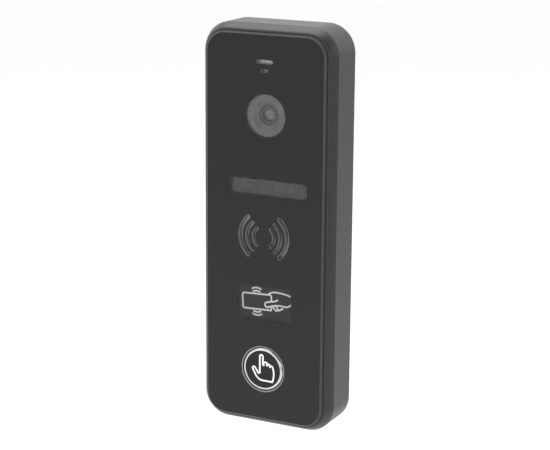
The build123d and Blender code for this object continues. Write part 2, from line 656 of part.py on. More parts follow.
with BuildPart() as lamp_board_spacers:
    with BuildSketch(at(BOARD_FRONT)):
        with Locations((LAMP_ROW_X - SPACER_OFFSET, LAMP_Z), (LAMP_ROW_X + SPACER_OFFSET, LAMP_Z)):
            Circle(SPACER_RADIUS)
    extrude(amount=LAMP_BOARD_BACK - BOARD_FRONT)
save(lamp_board_spacers, "lamp_board_spacers")

for number in range(LAMP_COUNT):
    lamp_x = LAMP_ROW_X + (number - (LAMP_COUNT - 1) / 2) * LAMP_PITCH
    with BuildPart() as lamp:
        with BuildSketch(at(LAMP_BOARD_FRONT)):
            with Locations((lamp_x, LAMP_Z)):
                RectangleRounded(*LAMP_SIZE, LAMP_CORNER)
        extrude(amount=LAMP_HEIGHT)
        with BuildSketch(at(LAMP_BOARD_FRONT + LAMP_HEIGHT)):
            with Locations((lamp_x, LAMP_Z)):
                Circle(LAMP_DOME_RADIUS)
        extrude(amount=LAMP_DOME_HEIGHT)
    save(lamp, f"lamp_{number + 1}")

# ---------------------------------------------------------------- speaker
BASKET_BACK = 11.2
BASKET_FRONT = 13.5
CONE_FRONT = 13.8
COIL_RADIUS = 3.8
COIL_WALL = 0.5
COIL_BACK = 11.4
COIL_FRONT = 12.7
MESH_THICKNESS = 0.3
MESH_RING_RADIUS = 9.7
BASKET_FLOOR = 0.6
BASKET_HUB_RADIUS = 4.4
BASKET_RIM_RADIUS = 10.8
BASKET_HOLE_PLACE = 8.6
BASKET_HOLE_RADIUS = 1.1
BASKET_HOLES = 6
MAGNET_BACK = 9.9
MAGNET_RADIUS = 6.2
POLE_RADIUS = 2.9
POLE_FRONT = 12.2
CONTACT_WIDTH = 2.4
CONTACT_STRIP = 0.25

with BuildPart() as speaker_mesh:
    add(tube(MESH_RADIUS - GAP, 0, WALL_FRONT - MESH_THICKNESS, WALL_FRONT, z=SPEAKER_Z))
save(speaker_mesh, "speaker_mesh")

with BuildPart() as mesh_ring:
    add(tube(MESH_RADIUS - GAP, MESH_RING_RADIUS, WALL_BACK, WALL_FRONT - MESH_THICKNESS, z=SPEAKER_Z))
save(mesh_ring, "mesh_ring")

with BuildPart() as speaker_gasket:
    add(tube(SPEAKER_RADIUS, MESH_RING_RADIUS, CONE_FRONT, WALL_BACK, z=SPEAKER_Z))
save(speaker_gasket, "speaker_gasket")

with BuildPart() as speaker_basket:
    add(turned([(BASKET_HUB_RADIUS, BASKET_BACK), (SPEAKER_RADIUS, BASKET_BACK), (SPEAKER_RADIUS, BASKET_FRONT),
                (BASKET_RIM_RADIUS, BASKET_FRONT), (BASKET_RIM_RADIUS, BASKET_BACK + BASKET_FLOOR),
                (BASKET_HUB_RADIUS, BASKET_BACK + BASKET_FLOOR)], z=SPEAKER_Z))
    with BuildSketch(at(BASKET_BACK)):
        with Locations((0, SPEAKER_Z)):
            with PolarLocations(BASKET_HOLE_PLACE, BASKET_HOLES):
                Circle(BASKET_HOLE_RADIUS)
    extrude(amount=BASKET_FLOOR, mode=Mode.SUBTRACT)
save(speaker_basket, "speaker_basket")

with BuildPart() as speaker_cone:
    # A domed middle, a shallow cone and a flat surround that rests on the basket's rim.
    add(turned([(0, COIL_FRONT + 0.4), (COIL_RADIUS, COIL_FRONT), (9.2, 13.3), (10.4, BASKET_FRONT),
                (SPEAKER_RADIUS - 0.3, BASKET_FRONT), (SPEAKER_RADIUS - 0.3, CONE_FRONT), (10.2, CONE_FRONT),
                (9.1, 13.55), (COIL_RADIUS, COIL_FRONT + 0.25), (0, COIL_FRONT + 0.65)], z=SPEAKER_Z))
save(speaker_cone, "speaker_cone")

with BuildPart() as voice_coil:
    add(tube(COIL_RADIUS, COIL_RADIUS - COIL_WALL, COIL_BACK, COIL_FRONT, z=SPEAKER_Z))
save(voice_coil, "voice_coil")

with BuildPart() as speaker_magnet:
    add(turned([(0, MAGNET_BACK), (MAGNET_RADIUS, MAGNET_BACK), (MAGNET_RADIUS, BASKET_BACK),
                (BASKET_HUB_RADIUS - GAP, BASKET_BACK), (BASKET_HUB_RADIUS - GAP, MAGNET_BACK + 0.9),
                (POLE_RADIUS, MAGNET_BACK + 0.9), (POLE_RADIUS, POLE_FRONT), (0, POLE_FRONT)], z=SPEAKER_Z))
save(speaker_magnet, "speaker_magnet")

with BuildPart() as speaker_contacts:
    for side in (-1, 1):
        with BuildSketch(Plane.XY.offset(SPEAKER_Z - CONTACT_WIDTH / 2)):
            with BuildLine():
                Polyline((side * 9.0, -BOARD_FRONT), (side * 12.0, -BOARD_FRONT),
                         (side * 12.0, -BOARD_FRONT - CONTACT_STRIP),
                         (side * 9.7, -BOARD_FRONT - CONTACT_STRIP),
                         (side * 12.0, -BASKET_BACK), (side * 11.4, -BASKET_BACK), close=True)
            make_face()
        extrude(amount=CONTACT_WIDTH)
save(speaker_contacts, "speaker_contacts")

# ---------------------------------------------------------------- card reader
TRAY_BACK = 13.4
TRAY_SIZE = (34.0, 20.6)
TRAY_CORE = (24.0, 11.0)
READER_COIL_OUTER = (29.6, 16.6, 3.2)
READER_COIL_INNER = (24.6, 11.6, 2.2)
READER_COIL_HEIGHT = 1.2
PIN_PITCH = 2.54
PIN_SIZE = 0.6

with BuildPart() as reader_tray:
    with BuildSketch(at(TRAY_BACK)):
        with Locations((0, READER_Z)):
            RectangleRounded(*TRAY_SIZE, OPENING_CORNER)
    extrude(amount=WALL_BACK - TRAY_BACK)
    with BuildSketch(at(WALL_BACK)):
        with Locations((0, READER_Z)):
            RectangleRounded(*TRAY_CORE, OPENING_CORNER)
    extrude(amount=WALL_FRONT - WALL_BACK)
save(reader_tray, "reader_tray")

with BuildPart() as reader_coil:
    with BuildSketch(at(WALL_BACK)):
        with Locations((0, READER_Z)):
            RectangleRounded(*READER_COIL_OUTER)
            RectangleRounded(*READER_COIL_INNER, mode=Mode.SUBTRACT)
    extrude(amount=READER_COIL_HEIGHT)
save(reader_coil, "reader_coil")

with BuildPart() as reader_pins:
    with BuildSketch(at(BOARD_FRONT)):
        with Locations((0, READER_Z)):
            with GridLocations(PIN_PITCH, 1, 2, 1):
                Rectangle(PIN_SIZE, PIN_SIZE)
    extrude(amount=TRAY_BACK - BOARD_FRONT)
save(reader_pins, "reader_pins")

# ---------------------------------------------------------------- call button and its switch
COLLAR_RADIUS = 8.6
COLLAR_BORE_RADIUS = 8.05
COLLAR_FLANGE_BACK = 13.4
COLLAR_FLANGE_FRONT = 14.2
COLLAR_FLANGE_RADIUS = 10.6
COLLAR_FRONT = PANE_FRONT + 0.1
CAP_RADIUS = 6.85
RING_RADIUS = 7.8
RING_BACK = 16.4
CAP_FACE = 18.3
CAP_FLANGE_BACK = 12.4
CAP_FLANGE_FRONT = 13.3
CAP_FLANGE_RADIUS = 9.3
CAP_HOLLOW_RADIUS = 6.6
CAP_HOLLOW_FRONT = 16.0
RING_CROWN = 0.4
ICON_HEIGHT = 0.06
STEM_RADIUS = 1.5
SWITCH_SIZE = 6.2
SWITCH_CORNER = 0.5
SWITCH_FLOOR = 0.9
PLUNGER_FRONT = 13.7
SWITCH_FRONT = 12.6
PLUNGER_RADIUS = 1.7

with BuildPart() as button_gasket:
    add(tube(COLLAR_FLANGE_RADIUS, BUTTON_BORE_RADIUS, COLLAR_FLANGE_FRONT, WALL_BACK, z=BUTTON_Z))
save(button_gasket, "button_gasket")

with BuildPart() as button_collar:
    add(turned([(COLLAR_BORE_RADIUS, COLLAR_FLANGE_BACK), (COLLAR_FLANGE_RADIUS, COLLAR_FLANGE_BACK),
                (COLLAR_FLANGE_RADIUS, COLLAR_FLANGE_FRONT), (COLLAR_RADIUS, COLLAR_FLANGE_FRONT),
                (COLLAR_RADIUS, PANE_FRONT), (COLLAR_RADIUS - 0.15, COLLAR_FRONT),
                (COLLAR_RADIUS - 0.4, COLLAR_FRONT), (COLLAR_BORE_RADIUS, COLLAR_FRONT - 0.2)], z=BUTTON_Z))
save(button_collar, "button_collar")

with BuildPart() as button_cap:
    add(turned([(0, CAP_HOLLOW_FRONT), (CAP_HOLLOW_RADIUS, CAP_HOLLOW_FRONT),
                (CAP_HOLLOW_RADIUS, CAP_FLANGE_BACK),
                (CAP_FLANGE_RADIUS, CAP_FLANGE_BACK), (CAP_FLANGE_RADIUS, CAP_FLANGE_FRONT),
                (RING_RADIUS, CAP_FLANGE_FRONT), (RING_RADIUS, RING_BACK), (CAP_RADIUS, RING_BACK),
                (CAP_RADIUS, CAP_FACE), (0, CAP_FACE)], z=BUTTON_Z))
    add(tube(STEM_RADIUS, 0, PLUNGER_FRONT + GAP / 2, CAP_HOLLOW_FRONT, z=BUTTON_Z))
save(button_cap, "button_cap")

with BuildPart() as button_ring:
    with BuildSketch(Plane.XY.offset(BUTTON_Z)):
        with BuildLine():
            Polyline((CAP_RADIUS, -CAP_FACE), (CAP_RADIUS, -RING_BACK), (RING_RADIUS, -RING_BACK),
                     (RING_RADIUS, -CAP_FACE))
            ThreePointArc((RING_RADIUS, -CAP_FACE), ((CAP_RADIUS + RING_RADIUS) / 2, -CAP_FACE - RING_CROWN),
                          (CAP_RADIUS, -CAP_FACE))
        make_face()
    revolve(axis=Axis((0, 0, BUTTON_Z), (0, 1, 0)))
save(button_ring, "button_ring")

with BuildPart() as button_icon:
    with BuildSketch(at(CAP_FACE)):
        hand_pictogram()
    extrude(amount=ICON_HEIGHT)
save(button_icon, "button_icon")

with BuildPart() as switch_body:
    with BuildSketch(at(BOARD_FRONT)):
        with Locations((0, BUTTON_Z)):
            RectangleRounded(SWITCH_SIZE, SWITCH_SIZE, SWITCH_CORNER)
    extrude(amount=SWITCH_FRONT - BOARD_FRONT)
    with BuildSketch(at(BOARD_FRONT + SWITCH_FLOOR)):
        with Locations((0, BUTTON_Z)):
            Circle(PLUNGER_RADIUS + GAP)
    extrude(amount=SWITCH_FRONT - BOARD_FRONT - SWITCH_FLOOR, mode=Mode.SUBTRACT)
save(switch_body, "switch_body")

with BuildPart() as switch_plunger:
    add(tube(PLUNGER_RADIUS, 0, BOARD_FRONT + SWITCH_FLOOR + BUTTON_TRAVEL + GAP, PLUNGER_FRONT,
             z=BUTTON_Z))
save(switch_plunger, "switch_plunger")

# ---------------------------------------------------------------- main board and what it carries
BOARD_CORNER = 3.0
BOARD_HEAD_RADIUS = 1.8
BOARD_HEAD_HEIGHT = 1.0
BOARD_SCREW_END = 13.0
CHIP_PLACE = (8.0, 27.0)
CHIP_SIZE = (7.0, 7.0, 0.3)
CHIP_HEIGHT = 0.9
CAPACITOR_X = (-12.0, -6.0)
CAPACITOR_Z = 27.0
CAPACITOR_RADIUS = 2.5
CAPACITOR_HEIGHT = 4.4
INDUCTOR_PLACE = (13.0, -44.0)
INDUCTOR_SIZE = (5.0, 5.0, 1.0)
INDUCTOR_HEIGHT = 3.0
HEADER_PLACE = (0, 6.0)
HEADER_SIZE = (11.0, 4.5)
HEADER_HEIGHT = 2.4
HEADER_WAYS = 4
HEADER_PITCH = 2.5
HEADER_OPENING = (1.4, 2.6)

with BuildPart() as main_board:
    with BuildSketch(at(BOARD_BACK)):
        RectangleRounded(BOARD_WIDTH, BOARD_HEIGHT, BOARD_CORNER)
        with Locations(*board_screw_places):
            Circle(BOARD_SHANK_RADIUS + SCREW_CLEARANCE, mode=Mode.SUBTRACT)
    extrude(amount=BOARD_FRONT - BOARD_BACK)
save(main_board, "main_board")

with BuildPart() as board_screws:
    for x, z in board_screw_places:
        add(screw(x, z, BOARD_HEAD_RADIUS, BOARD_BACK - BOARD_HEAD_HEIGHT, BOARD_BACK, BOARD_SHANK_RADIUS,
                  BOARD_SCREW_END))
save(board_screws, "board_screws")

with BuildPart() as processor_chip:
    with BuildSketch(at(BOARD_FRONT)):
        with Locations(CHIP_PLACE):
            RectangleRounded(*CHIP_SIZE)
    extrude(amount=CHIP_HEIGHT)
save(processor_chip, "processor_chip")

with BuildPart() as filter_capacitors:
    for x in CAPACITOR_X:
        add(tube(CAPACITOR_RADIUS, 0, BOARD_FRONT, BOARD_FRONT + CAPACITOR_HEIGHT, x, CAPACITOR_Z))
save(filter_capacitors, "filter_capacitors")

with BuildPart() as power_inductor:
    with BuildSketch(at(BOARD_FRONT)):
        with Locations(INDUCTOR_PLACE):
            RectangleRounded(*INDUCTOR_SIZE)
    extrude(amount=INDUCTOR_HEIGHT)
save(power_inductor, "power_inductor")

with BuildPart() as cable_header:
    with BuildSketch(at(BOARD_BACK - HEADER_HEIGHT)):
        with Locations(HEADER_PLACE):
            Rectangle(*HEADER_SIZE)
            with GridLocations(HEADER_PITCH, 1, HEADER_WAYS, 1):
                Rectangle(*HEADER_OPENING, mode=Mode.SUBTRACT)
    extrude(amount=HEADER_HEIGHT)
save(cable_header, "cable_header")

# ---------------------------------------------------------------- settings reached from behind
TRIMMER_BACK = 6.5
TRIMMER_SIZE = (4.6, 4.6, 0.4)
ROTOR_RADIUS = 1.4
ROTOR_RISE = 0.3
ROTOR_HEIGHT = 1.5
ROTOR_SLOT = (0.5, 0.7)
OPTION_BACK = 6.4
OPTION_SIZE = (6.2, 5.4)
OPTION_WELL = 1.0
LEVER_RISE = 0.4
LEVER_HEIGHT = 1.3
LEVER_SIZE = 1.0
LEVER_TRAVEL = 1.0
LEVER_PITCH = 2.54

with BuildPart() as trimmer_body:
    with BuildSketch(at(TRIMMER_BACK)):
        with Locations((TRIMMER_X, SETTINGS_Z)):
            RectangleRounded(*TRIMMER_SIZE)
    extrude(amount=BOARD_BACK - TRIMMER_BACK)
    with BuildSketch(at(TRIMMER_BACK)):
        with Locations((TRIMMER_X, SETTINGS_Z)):
            Circle(ROTOR_RADIUS + GAP / 2)
    extrude(amount=ROTOR_HEIGHT - ROTOR_RISE + GAP, mode=Mode.SUBTRACT)
save(trimmer_body, "trimmer_body")

with BuildPart() as trimmer_rotor:
    with BuildSketch(at(TRIMMER_BACK - ROTOR_RISE)):
        with Locations((TRIMMER_X, SETTINGS_Z)):
            Circle(ROTOR_RADIUS)
    extrude(amount=ROTOR_HEIGHT)
    with BuildSketch(at(TRIMMER_BACK - ROTOR_RISE)):
        with Locations((TRIMMER_X, SETTINGS_Z)):
            Rectangle(2 * ROTOR_RADIUS, ROTOR_SLOT[0])
    extrude(amount=ROTOR_SLOT[1], mode=Mode.SUBTRACT)
save(trimmer_rotor, "trimmer_rotor")

with BuildPart() as option_switch_body:
    with BuildSketch(at(OPTION_BACK)):
        with Locations((OPTION_X, SETTINGS_Z)):
            Rectangle(*OPTION_SIZE)
    extrude(amount=BOARD_BACK - OPTION_BACK)
    with BuildSketch(at(OPTION_BACK)):
        with Locations((OPTION_X, SETTINGS_Z)):
            with GridLocations(LEVER_PITCH, 1, 2, 1):
                Rectangle(LEVER_SIZE + GAP, LEVER_SIZE + LEVER_TRAVEL + GAP)
    extrude(amount=OPTION_WELL, mode=Mode.SUBTRACT)
save(option_switch_body, "option_switch_body")

for number, side in enumerate((-1, 1), start=1):
    with BuildPart() as lever:
        with BuildSketch(at(OPTION_BACK - LEVER_RISE)):
            with Locations((OPTION_X + side * LEVER_PITCH / 2, SETTINGS_Z - LEVER_TRAVEL / 2)):
                Rectangle(LEVER_SIZE, LEVER_SIZE)
        extrude(amount=LEVER_HEIGHT)
    save(lever, f"option_lever_{number}")
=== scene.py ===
import json
from math import cos, hypot, pi, radians, sin

import bmesh
import bpy
from mathutils import Matrix, Vector


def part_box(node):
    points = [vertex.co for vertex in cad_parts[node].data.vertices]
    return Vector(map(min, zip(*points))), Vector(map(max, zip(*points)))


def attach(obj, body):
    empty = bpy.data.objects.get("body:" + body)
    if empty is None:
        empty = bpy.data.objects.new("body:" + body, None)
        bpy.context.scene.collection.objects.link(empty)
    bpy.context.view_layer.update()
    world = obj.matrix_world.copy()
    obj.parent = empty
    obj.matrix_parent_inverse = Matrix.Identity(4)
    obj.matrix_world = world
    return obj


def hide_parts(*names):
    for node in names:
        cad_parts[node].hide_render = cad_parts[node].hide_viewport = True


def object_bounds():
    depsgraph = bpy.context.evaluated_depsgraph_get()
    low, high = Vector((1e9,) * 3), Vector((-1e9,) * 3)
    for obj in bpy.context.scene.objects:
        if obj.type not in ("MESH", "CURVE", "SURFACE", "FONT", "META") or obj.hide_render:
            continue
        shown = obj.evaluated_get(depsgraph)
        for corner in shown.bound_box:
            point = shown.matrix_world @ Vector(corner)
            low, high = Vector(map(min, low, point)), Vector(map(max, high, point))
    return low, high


# Door intercom panel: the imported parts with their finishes, and finer pieces for what shows.
# Metres. For a person facing the panel, +X is to the right, +Z is up and +Y goes into the wall.
# The origin is on the wall, behind the panel's middle, so a point at depth d in front of it has Y = -d.

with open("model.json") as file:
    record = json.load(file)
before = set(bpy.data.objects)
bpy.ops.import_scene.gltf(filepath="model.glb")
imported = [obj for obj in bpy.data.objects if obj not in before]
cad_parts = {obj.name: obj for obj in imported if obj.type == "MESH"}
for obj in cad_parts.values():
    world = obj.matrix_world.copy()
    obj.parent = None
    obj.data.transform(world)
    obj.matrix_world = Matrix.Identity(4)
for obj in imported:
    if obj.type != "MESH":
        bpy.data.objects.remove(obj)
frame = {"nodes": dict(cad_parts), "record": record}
cad_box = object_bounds()

MM = 0.001
JOIN = 0.002 * MM
LEVEL_SLACK = 5 * JOIN
OUTLINE_SLACK = 10 * JOIN
SHARP_ANGLE = radians(28)
RIM_ANGLE = radians(20)
STRAIGHT_OUT = 0.9999
NEARLY_STRAIGHT_OUT = 0.98
TURN_STEPS = 96
WHITE = (1, 1, 1, 1)


# ---------------------------------------------------------------- camera
LENS = 108.83
CLIP_START = 10 * MM
VIEW_AZIMUTH = radians(26.596)
VIEW_ELEVATION = radians(14.128)
VIEW_ROLL = radians(0.404)
VIEW_DISTANCE = 594.54 * MM
VIEW_SIDE_SHIFT = -4.333 * MM
VIEW_UP_SHIFT = -1.502 * MM


def add_camera():
    """Place the camera in front of the panel, to its right and a little above it."""
    flat = cos(VIEW_ELEVATION)
    back = Vector((sin(VIEW_AZIMUTH) * flat, -cos(VIEW_AZIMUTH) * flat, sin(VIEW_ELEVATION)))
    side = Vector((cos(VIEW_AZIMUTH), sin(VIEW_AZIMUTH), 0))
    up = back.cross(side)
    turned_side = side * cos(VIEW_ROLL) + up * sin(VIEW_ROLL)
    turned_up = up * cos(VIEW_ROLL) - side * sin(VIEW_ROLL)
    camera = bpy.data.objects.new("camera", bpy.data.cameras.new("camera"))
    camera.data.lens = LENS
    camera.data.clip_start = CLIP_START
    turn = Matrix((turned_side, turned_up, back)).transposed().to_4x4()
    place = back * VIEW_DISTANCE + side * VIEW_SIDE_SHIFT + up * VIEW_UP_SHIFT
    camera.matrix_world = Matrix.Translation(place) @ turn
    bpy.context.collection.objects.link(camera)
    bpy.context.scene.camera = camera


# ---------------------------------------------------------------- shared node groups
NOISE_LOW = 0.25
NOISE_HIGH = 0.75
CELL_SHARE, SOFT_SHARE = 0.6, 0.4
PATCH_SHARE, SPECK_SHARE = 0.6, 0.4
UPWARD_SHARE, CORNER_SHARE = 0.7, 0.5
CORNER_REACH = 1.5 * MM
EDGE_GAIN = 8.0
WEAR_BREAKS = 700.0
DUST_FLECKS = 1800.0
HAIRLINES = 260.0


def new_group(name, inputs, outputs):
    """Start a shader node group with named sockets and return its tree and its two ends."""
    tree = bpy.data.node_groups.new(name, "ShaderNodeTree")
    for label, kind, value in inputs:
        socket = tree.interface.new_socket(name=label, in_out="INPUT", socket_type=kind)
        socket.default_value = value
    for label, kind in outputs:
        tree.interface.new_socket(name=label, in_out="OUTPUT", socket_type=kind)
    entry = tree.nodes.new("NodeGroupInput")
    way_out = tree.nodes.new("NodeGroupOutput")
    return tree, entry, way_out


def math_node(tree, operation, first, second, clamp=False):
    """Add a Math node fed by sockets or numbers and return its output."""
    node = tree.nodes.new("ShaderNodeMath")
    node.operation = operation
    node.use_clamp = clamp
    for socket, value in zip(node.inputs, (first, second)):
        if isinstance(value, bpy.types.NodeSocket):
            tree.links.new(value, socket)
        else:
            socket.default_value = value
    return node.outputs[0]


def object_point(tree):
    """Return the surface point in the panel's own coordinates."""
    return tree.nodes.new("ShaderNodeTexCoord").outputs["Object"]


def noise(tree, point, scale, detail=3.0, roughness=0.55):
    """Add a Noise texture and return its value; the scale may be a socket."""
    node = tree.nodes.new("ShaderNodeTexNoise")
    node.inputs["Detail"].default_value = detail
    node.inputs["Roughness"].default_value = roughness
    tree.links.new(point, node.inputs["Vector"])
    if isinstance(scale, bpy.types.NodeSocket):
        tree.links.new(scale, node.inputs["Scale"])
    else:
        node.inputs["Scale"].default_value = scale
    return node.outputs["Fac"]


def spread_range(tree, value, low, high):
    """Map a noise value's useful middle part to low..high; both may be sockets."""
    node = tree.nodes.new("ShaderNodeMapRange")
    tree.links.new(value, node.inputs["Value"])
    node.inputs["From Min"].default_value = NOISE_LOW
    node.inputs["From Max"].default_value = NOISE_HIGH
    for label, end in (("To Min", low), ("To Max", high)):
        if isinstance(end, bpy.types.NodeSocket):
            tree.links.new(end, node.inputs[label])
        else:
            node.inputs[label].default_value = end
    return node.outputs["Result"]


def make_grain_group():
    """Fine pitted texture of sprayed paint or spark-eroded moulds, as a height from 0 to 1."""
    tree, entry, way_out = new_group(
        "moulded_grain",
        [("Cells per Metre", "NodeSocketFloat", 3000.0)],
        [("Height", "NodeSocketFloat")])
    point = object_point(tree)
    cells = tree.nodes.new("ShaderNodeTexVoronoi")
    cells.feature = "SMOOTH_F1"
    tree.links.new(point, cells.inputs["Vector"])
    tree.links.new(entry.outputs[0], cells.inputs["Scale"])
    soft = noise(tree, point, entry.outputs[0], detail=2.0)
    height = math_node(tree, "ADD", math_node(tree, "MULTIPLY", cells.outputs["Distance"], CELL_SHARE),
                       math_node(tree, "MULTIPLY", soft, SOFT_SHARE))
    tree.links.new(height, way_out.inputs[0])
    return tree


def make_tone_group():
    """Uneven colour: a base colour made lighter and darker in soft patches and fine specks."""
    tree, entry, way_out = new_group(
        "uneven_tone",
        [("Color", "NodeSocketColor", (0.5, 0.5, 0.5, 1)),
         ("Spread", "NodeSocketFloat", 0.1),
         ("Patches per Metre", "NodeSocketFloat", 60.0),
         ("Specks per Metre", "NodeSocketFloat", 3500.0)],
        [("Color", "NodeSocketColor")])
    point = object_point(tree)
    patches = noise(tree, point, entry.outputs["Patches per Metre"], detail=4.0)
    specks = noise(tree, point, entry.outputs["Specks per Metre"], detail=1.0)
    mixed = math_node(tree, "ADD", math_node(tree, "MULTIPLY", patches, PATCH_SHARE),
                      math_node(tree, "MULTIPLY", specks, SPECK_SHARE))
    low = math_node(tree, "SUBTRACT", 1.0, entry.outputs["Spread"])
    high = math_node(tree, "ADD", 1.0, entry.outputs["Spread"])
    factor = spread_range(tree, mixed, low, high)
    scale = tree.nodes.new("ShaderNodeVectorMath")
    scale.operation = "SCALE"
    tree.links.new(entry.outputs["Color"], scale.inputs[0])
    tree.links.new(factor, scale.inputs["Scale"])
    tree.links.new(scale.outputs["Vector"], way_out.inputs[0])
    return tree


def make_wear_group():
    """Where outer edges have rubbed, as a broken mask from 0 to 1."""
    tree, entry, way_out = new_group(
        "rubbed_edges",
        [("Reach", "NodeSocketFloat", 0.3 * MM),
         ("Amount", "NodeSocketFloat", 0.5)],
        [("Mask", "NodeSocketFloat")])
    rounded = tree.nodes.new("ShaderNodeBevel")
    rounded.samples = 4
    tree.links.new(entry.outputs["Reach"], rounded.inputs["Radius"])
    surface = tree.nodes.new("ShaderNodeNewGeometry")
    likeness = tree.nodes.new("ShaderNodeVectorMath")
    likeness.operation = "DOT_PRODUCT"
    tree.links.new(rounded.outputs["Normal"], likeness.inputs[0])
    tree.links.new(surface.outputs["Normal"], likeness.inputs[1])
    bend = math_node(tree, "SUBTRACT", 1.0, likeness.outputs["Value"])
    near_edge = math_node(tree, "MULTIPLY", bend, EDGE_GAIN, clamp=True)
    breaks = spread_range(tree, noise(tree, object_point(tree), WEAR_BREAKS, detail=5.0), 0.0, 1.0)
    broken = math_node(tree, "MULTIPLY", breaks, entry.outputs["Amount"])
    mask = math_node(tree, "MULTIPLY", near_edge, broken, clamp=True)
    tree.links.new(mask, way_out.inputs[0])
    return tree


def make_dust_group():
    """Dust that has settled on faces that look upwards and in corners, as a mask."""
    tree, entry, way_out = new_group(
        "settled_dust",
        [("Amount", "NodeSocketFloat", 0.3)],
        [("Mask", "NodeSocketFloat")])
    surface = tree.nodes.new("ShaderNodeNewGeometry")
    parts = tree.nodes.new("ShaderNodeSeparateXYZ")
    tree.links.new(surface.outputs["Normal"], parts.inputs[0])
    upward = math_node(tree, "MAXIMUM", parts.outputs["Z"], 0.0)
    hidden = tree.nodes.new("ShaderNodeAmbientOcclusion")
    hidden.samples = 4
    hidden.inputs["Distance"].default_value = CORNER_REACH
    corner = math_node(tree, "SUBTRACT", 1.0, hidden.outputs["AO"])
    settled = math_node(tree, "ADD", math_node(tree, "MULTIPLY", upward, UPWARD_SHARE),
                        math_node(tree, "MULTIPLY", corner, CORNER_SHARE))
    powder = noise(tree, object_point(tree), DUST_FLECKS, detail=6.0, roughness=0.7)
    flecks = spread_range(tree, powder, 0.1, 1.0)
    lying = math_node(tree, "MULTIPLY", settled, flecks)
    mask = math_node(tree, "MULTIPLY", lying, entry.outputs["Amount"], clamp=True)
    tree.links.new(mask, way_out.inputs[0])
    return tree


def make_brushed_group():
    """Fine parallel marks of rolled or brushed metal, as a height from 0 to 1."""
    tree, entry, way_out = new_group(
        "rolled_lines",
        [("Stretch", "NodeSocketVector", (40.0, 3000.0, 3000.0))],
        [("Height", "NodeSocketFloat")])
    stretch = tree.nodes.new("ShaderNodeVectorMath")
    stretch.operation = "MULTIPLY"
    tree.links.new(object_point(tree), stretch.inputs[0])
    tree.links.new(entry.outputs["Stretch"], stretch.inputs[1])
    tree.links.new(noise(tree, stretch.outputs["Vector"], 1.0, detail=4.0), way_out.inputs[0])
    return tree


def make_smudge_group():
    """Faint wiping marks and hairline scratches on a polished face, as a mask and a height."""
    tree, entry, way_out = new_group(
        "wiped_marks",
        [("Marks per Metre", "NodeSocketFloat", 45.0)],
        [("Mask", "NodeSocketFloat"), ("Height", "NodeSocketFloat")])
    point = object_point(tree)
    smears = noise(tree, point, entry.outputs[0], detail=5.0, roughness=0.6)
    tree.links.new(spread_range(tree, smears, 0.0, 1.0), way_out.inputs["Mask"])
    tree.links.new(noise(tree, point, HAIRLINES, detail=2.0), way_out.inputs["Height"])
    return tree


GRAIN = make_grain_group()
TONE = make_tone_group()
WEAR = make_wear_group()
DUST = make_dust_group()
BRUSHED = make_brushed_group()
SMUDGE = make_smudge_group()


# ---------------------------------------------------------------- materials
DUST_COLOUR = (0.34, 0.32, 0.29, 1)
TARNISH = (0.12, 0.10, 0.08, 1)
SOLDER_MASK = (0.012, 0.085, 0.030, 1)
MASK_OVER_COPPER = (0.035, 0.17, 0.055, 1)
BARE_BOARD = (0.30, 0.26, 0.13, 1)
# Painted shade: dark copper for the gaps between turns of wound wire.
WIRE_GAP_SHADE = (0.09, 0.03, 0.012, 1)
LENS_TINT = (0.78, 0.78, 0.82, 1)
LENS_TINT_MARKED = (0.86, 0.86, 0.88, 1)
PANE_IOR = 1.44
WINDOW_IOR = 1.36
LENS_IOR = 1.5
MARK_DEPTH = 0.0006 * MM


def new_material(name):
    """Start a node material and return it with its tree and shader."""
    material = bpy.data.materials.new(name)
    material.use_nodes = True
    return material, material.node_tree, material.node_tree.nodes["Principled BSDF"]


def place_group(tree, group, **values):
    """Place a shared group in a material, with its own values given as words with underscores."""
    node = tree.nodes.new("ShaderNodeGroup")
    node.node_tree = group
    for label, value in values.items():
        node.inputs[label.replace("_", " ")].default_value = value
    return node


def mix_colours(tree, mask, under, over):
    """Mix two colours, each a socket or four numbers, by a mask."""
    node = tree.nodes.new("ShaderNodeMix")
    node.data_type = "RGBA"
    tree.links.new(mask, node.inputs["Factor"])
    under_socket, over_socket = node.inputs[6], node.inputs[7]
    for socket, colour in ((under_socket, under), (over_socket, over)):
        if isinstance(colour, bpy.types.NodeSocket):
            tree.links.new(colour, socket)
        else:
            socket.default_value = colour
    return node.outputs[2]


def brighter(colour, times):
    """Return a colour made lighter or darker, and never past white."""
    return tuple(min(1.0, times * level) for level in colour[:3]) + (1,)


def grey(level, warmth=0.0):
    """Return a near-neutral colour; warmth above 0 is yellower."""
    return (level * (1 + warmth), level, level * (1 - warmth), 1)


def bump(tree, height, depth, shader):
    """Raise the surface by a height, whose full range is depth, in metres."""
    node = tree.nodes.new("ShaderNodeBump")
    node.inputs["Distance"].default_value = depth
    tree.links.new(height, node.inputs["Height"])
    tree.links.new(node.outputs["Normal"], shader.inputs["Normal"])


def coated(name, colour, rough, cells=3000.0, depth=0.006 * MM, spread=0.08, worn=None, wear=0.4,
           dust=0.12, rough_spread=0.06, specular=0.5):
    """Paint, moulded plastic or rubber: grained, uneven, rubbed at its edges and a little dusty."""
    material, tree, shader = new_material(name)
    tone = place_group(tree, TONE, Color=colour, Spread=spread)
    edges = place_group(tree, WEAR, Reach=0.25 * MM, Amount=wear)
    bare = worn or brighter(colour, 1.8)
    rubbed = mix_colours(tree, edges.outputs["Mask"], tone.outputs["Color"], bare)
    settled = place_group(tree, DUST, Amount=dust)
    dusty = mix_colours(tree, settled.outputs["Mask"], rubbed, DUST_COLOUR)
    tree.links.new(dusty, shader.inputs["Base Color"])
    grain = place_group(tree, GRAIN, Cells_per_Metre=cells)
    uneven = spread_range(tree, grain.outputs["Height"], rough - rough_spread, rough + rough_spread)
    tree.links.new(uneven, shader.inputs["Roughness"])
    bump(tree, grain.outputs["Height"], depth, shader)
    shader.inputs["Specular IOR Level"].default_value = specular
    return material


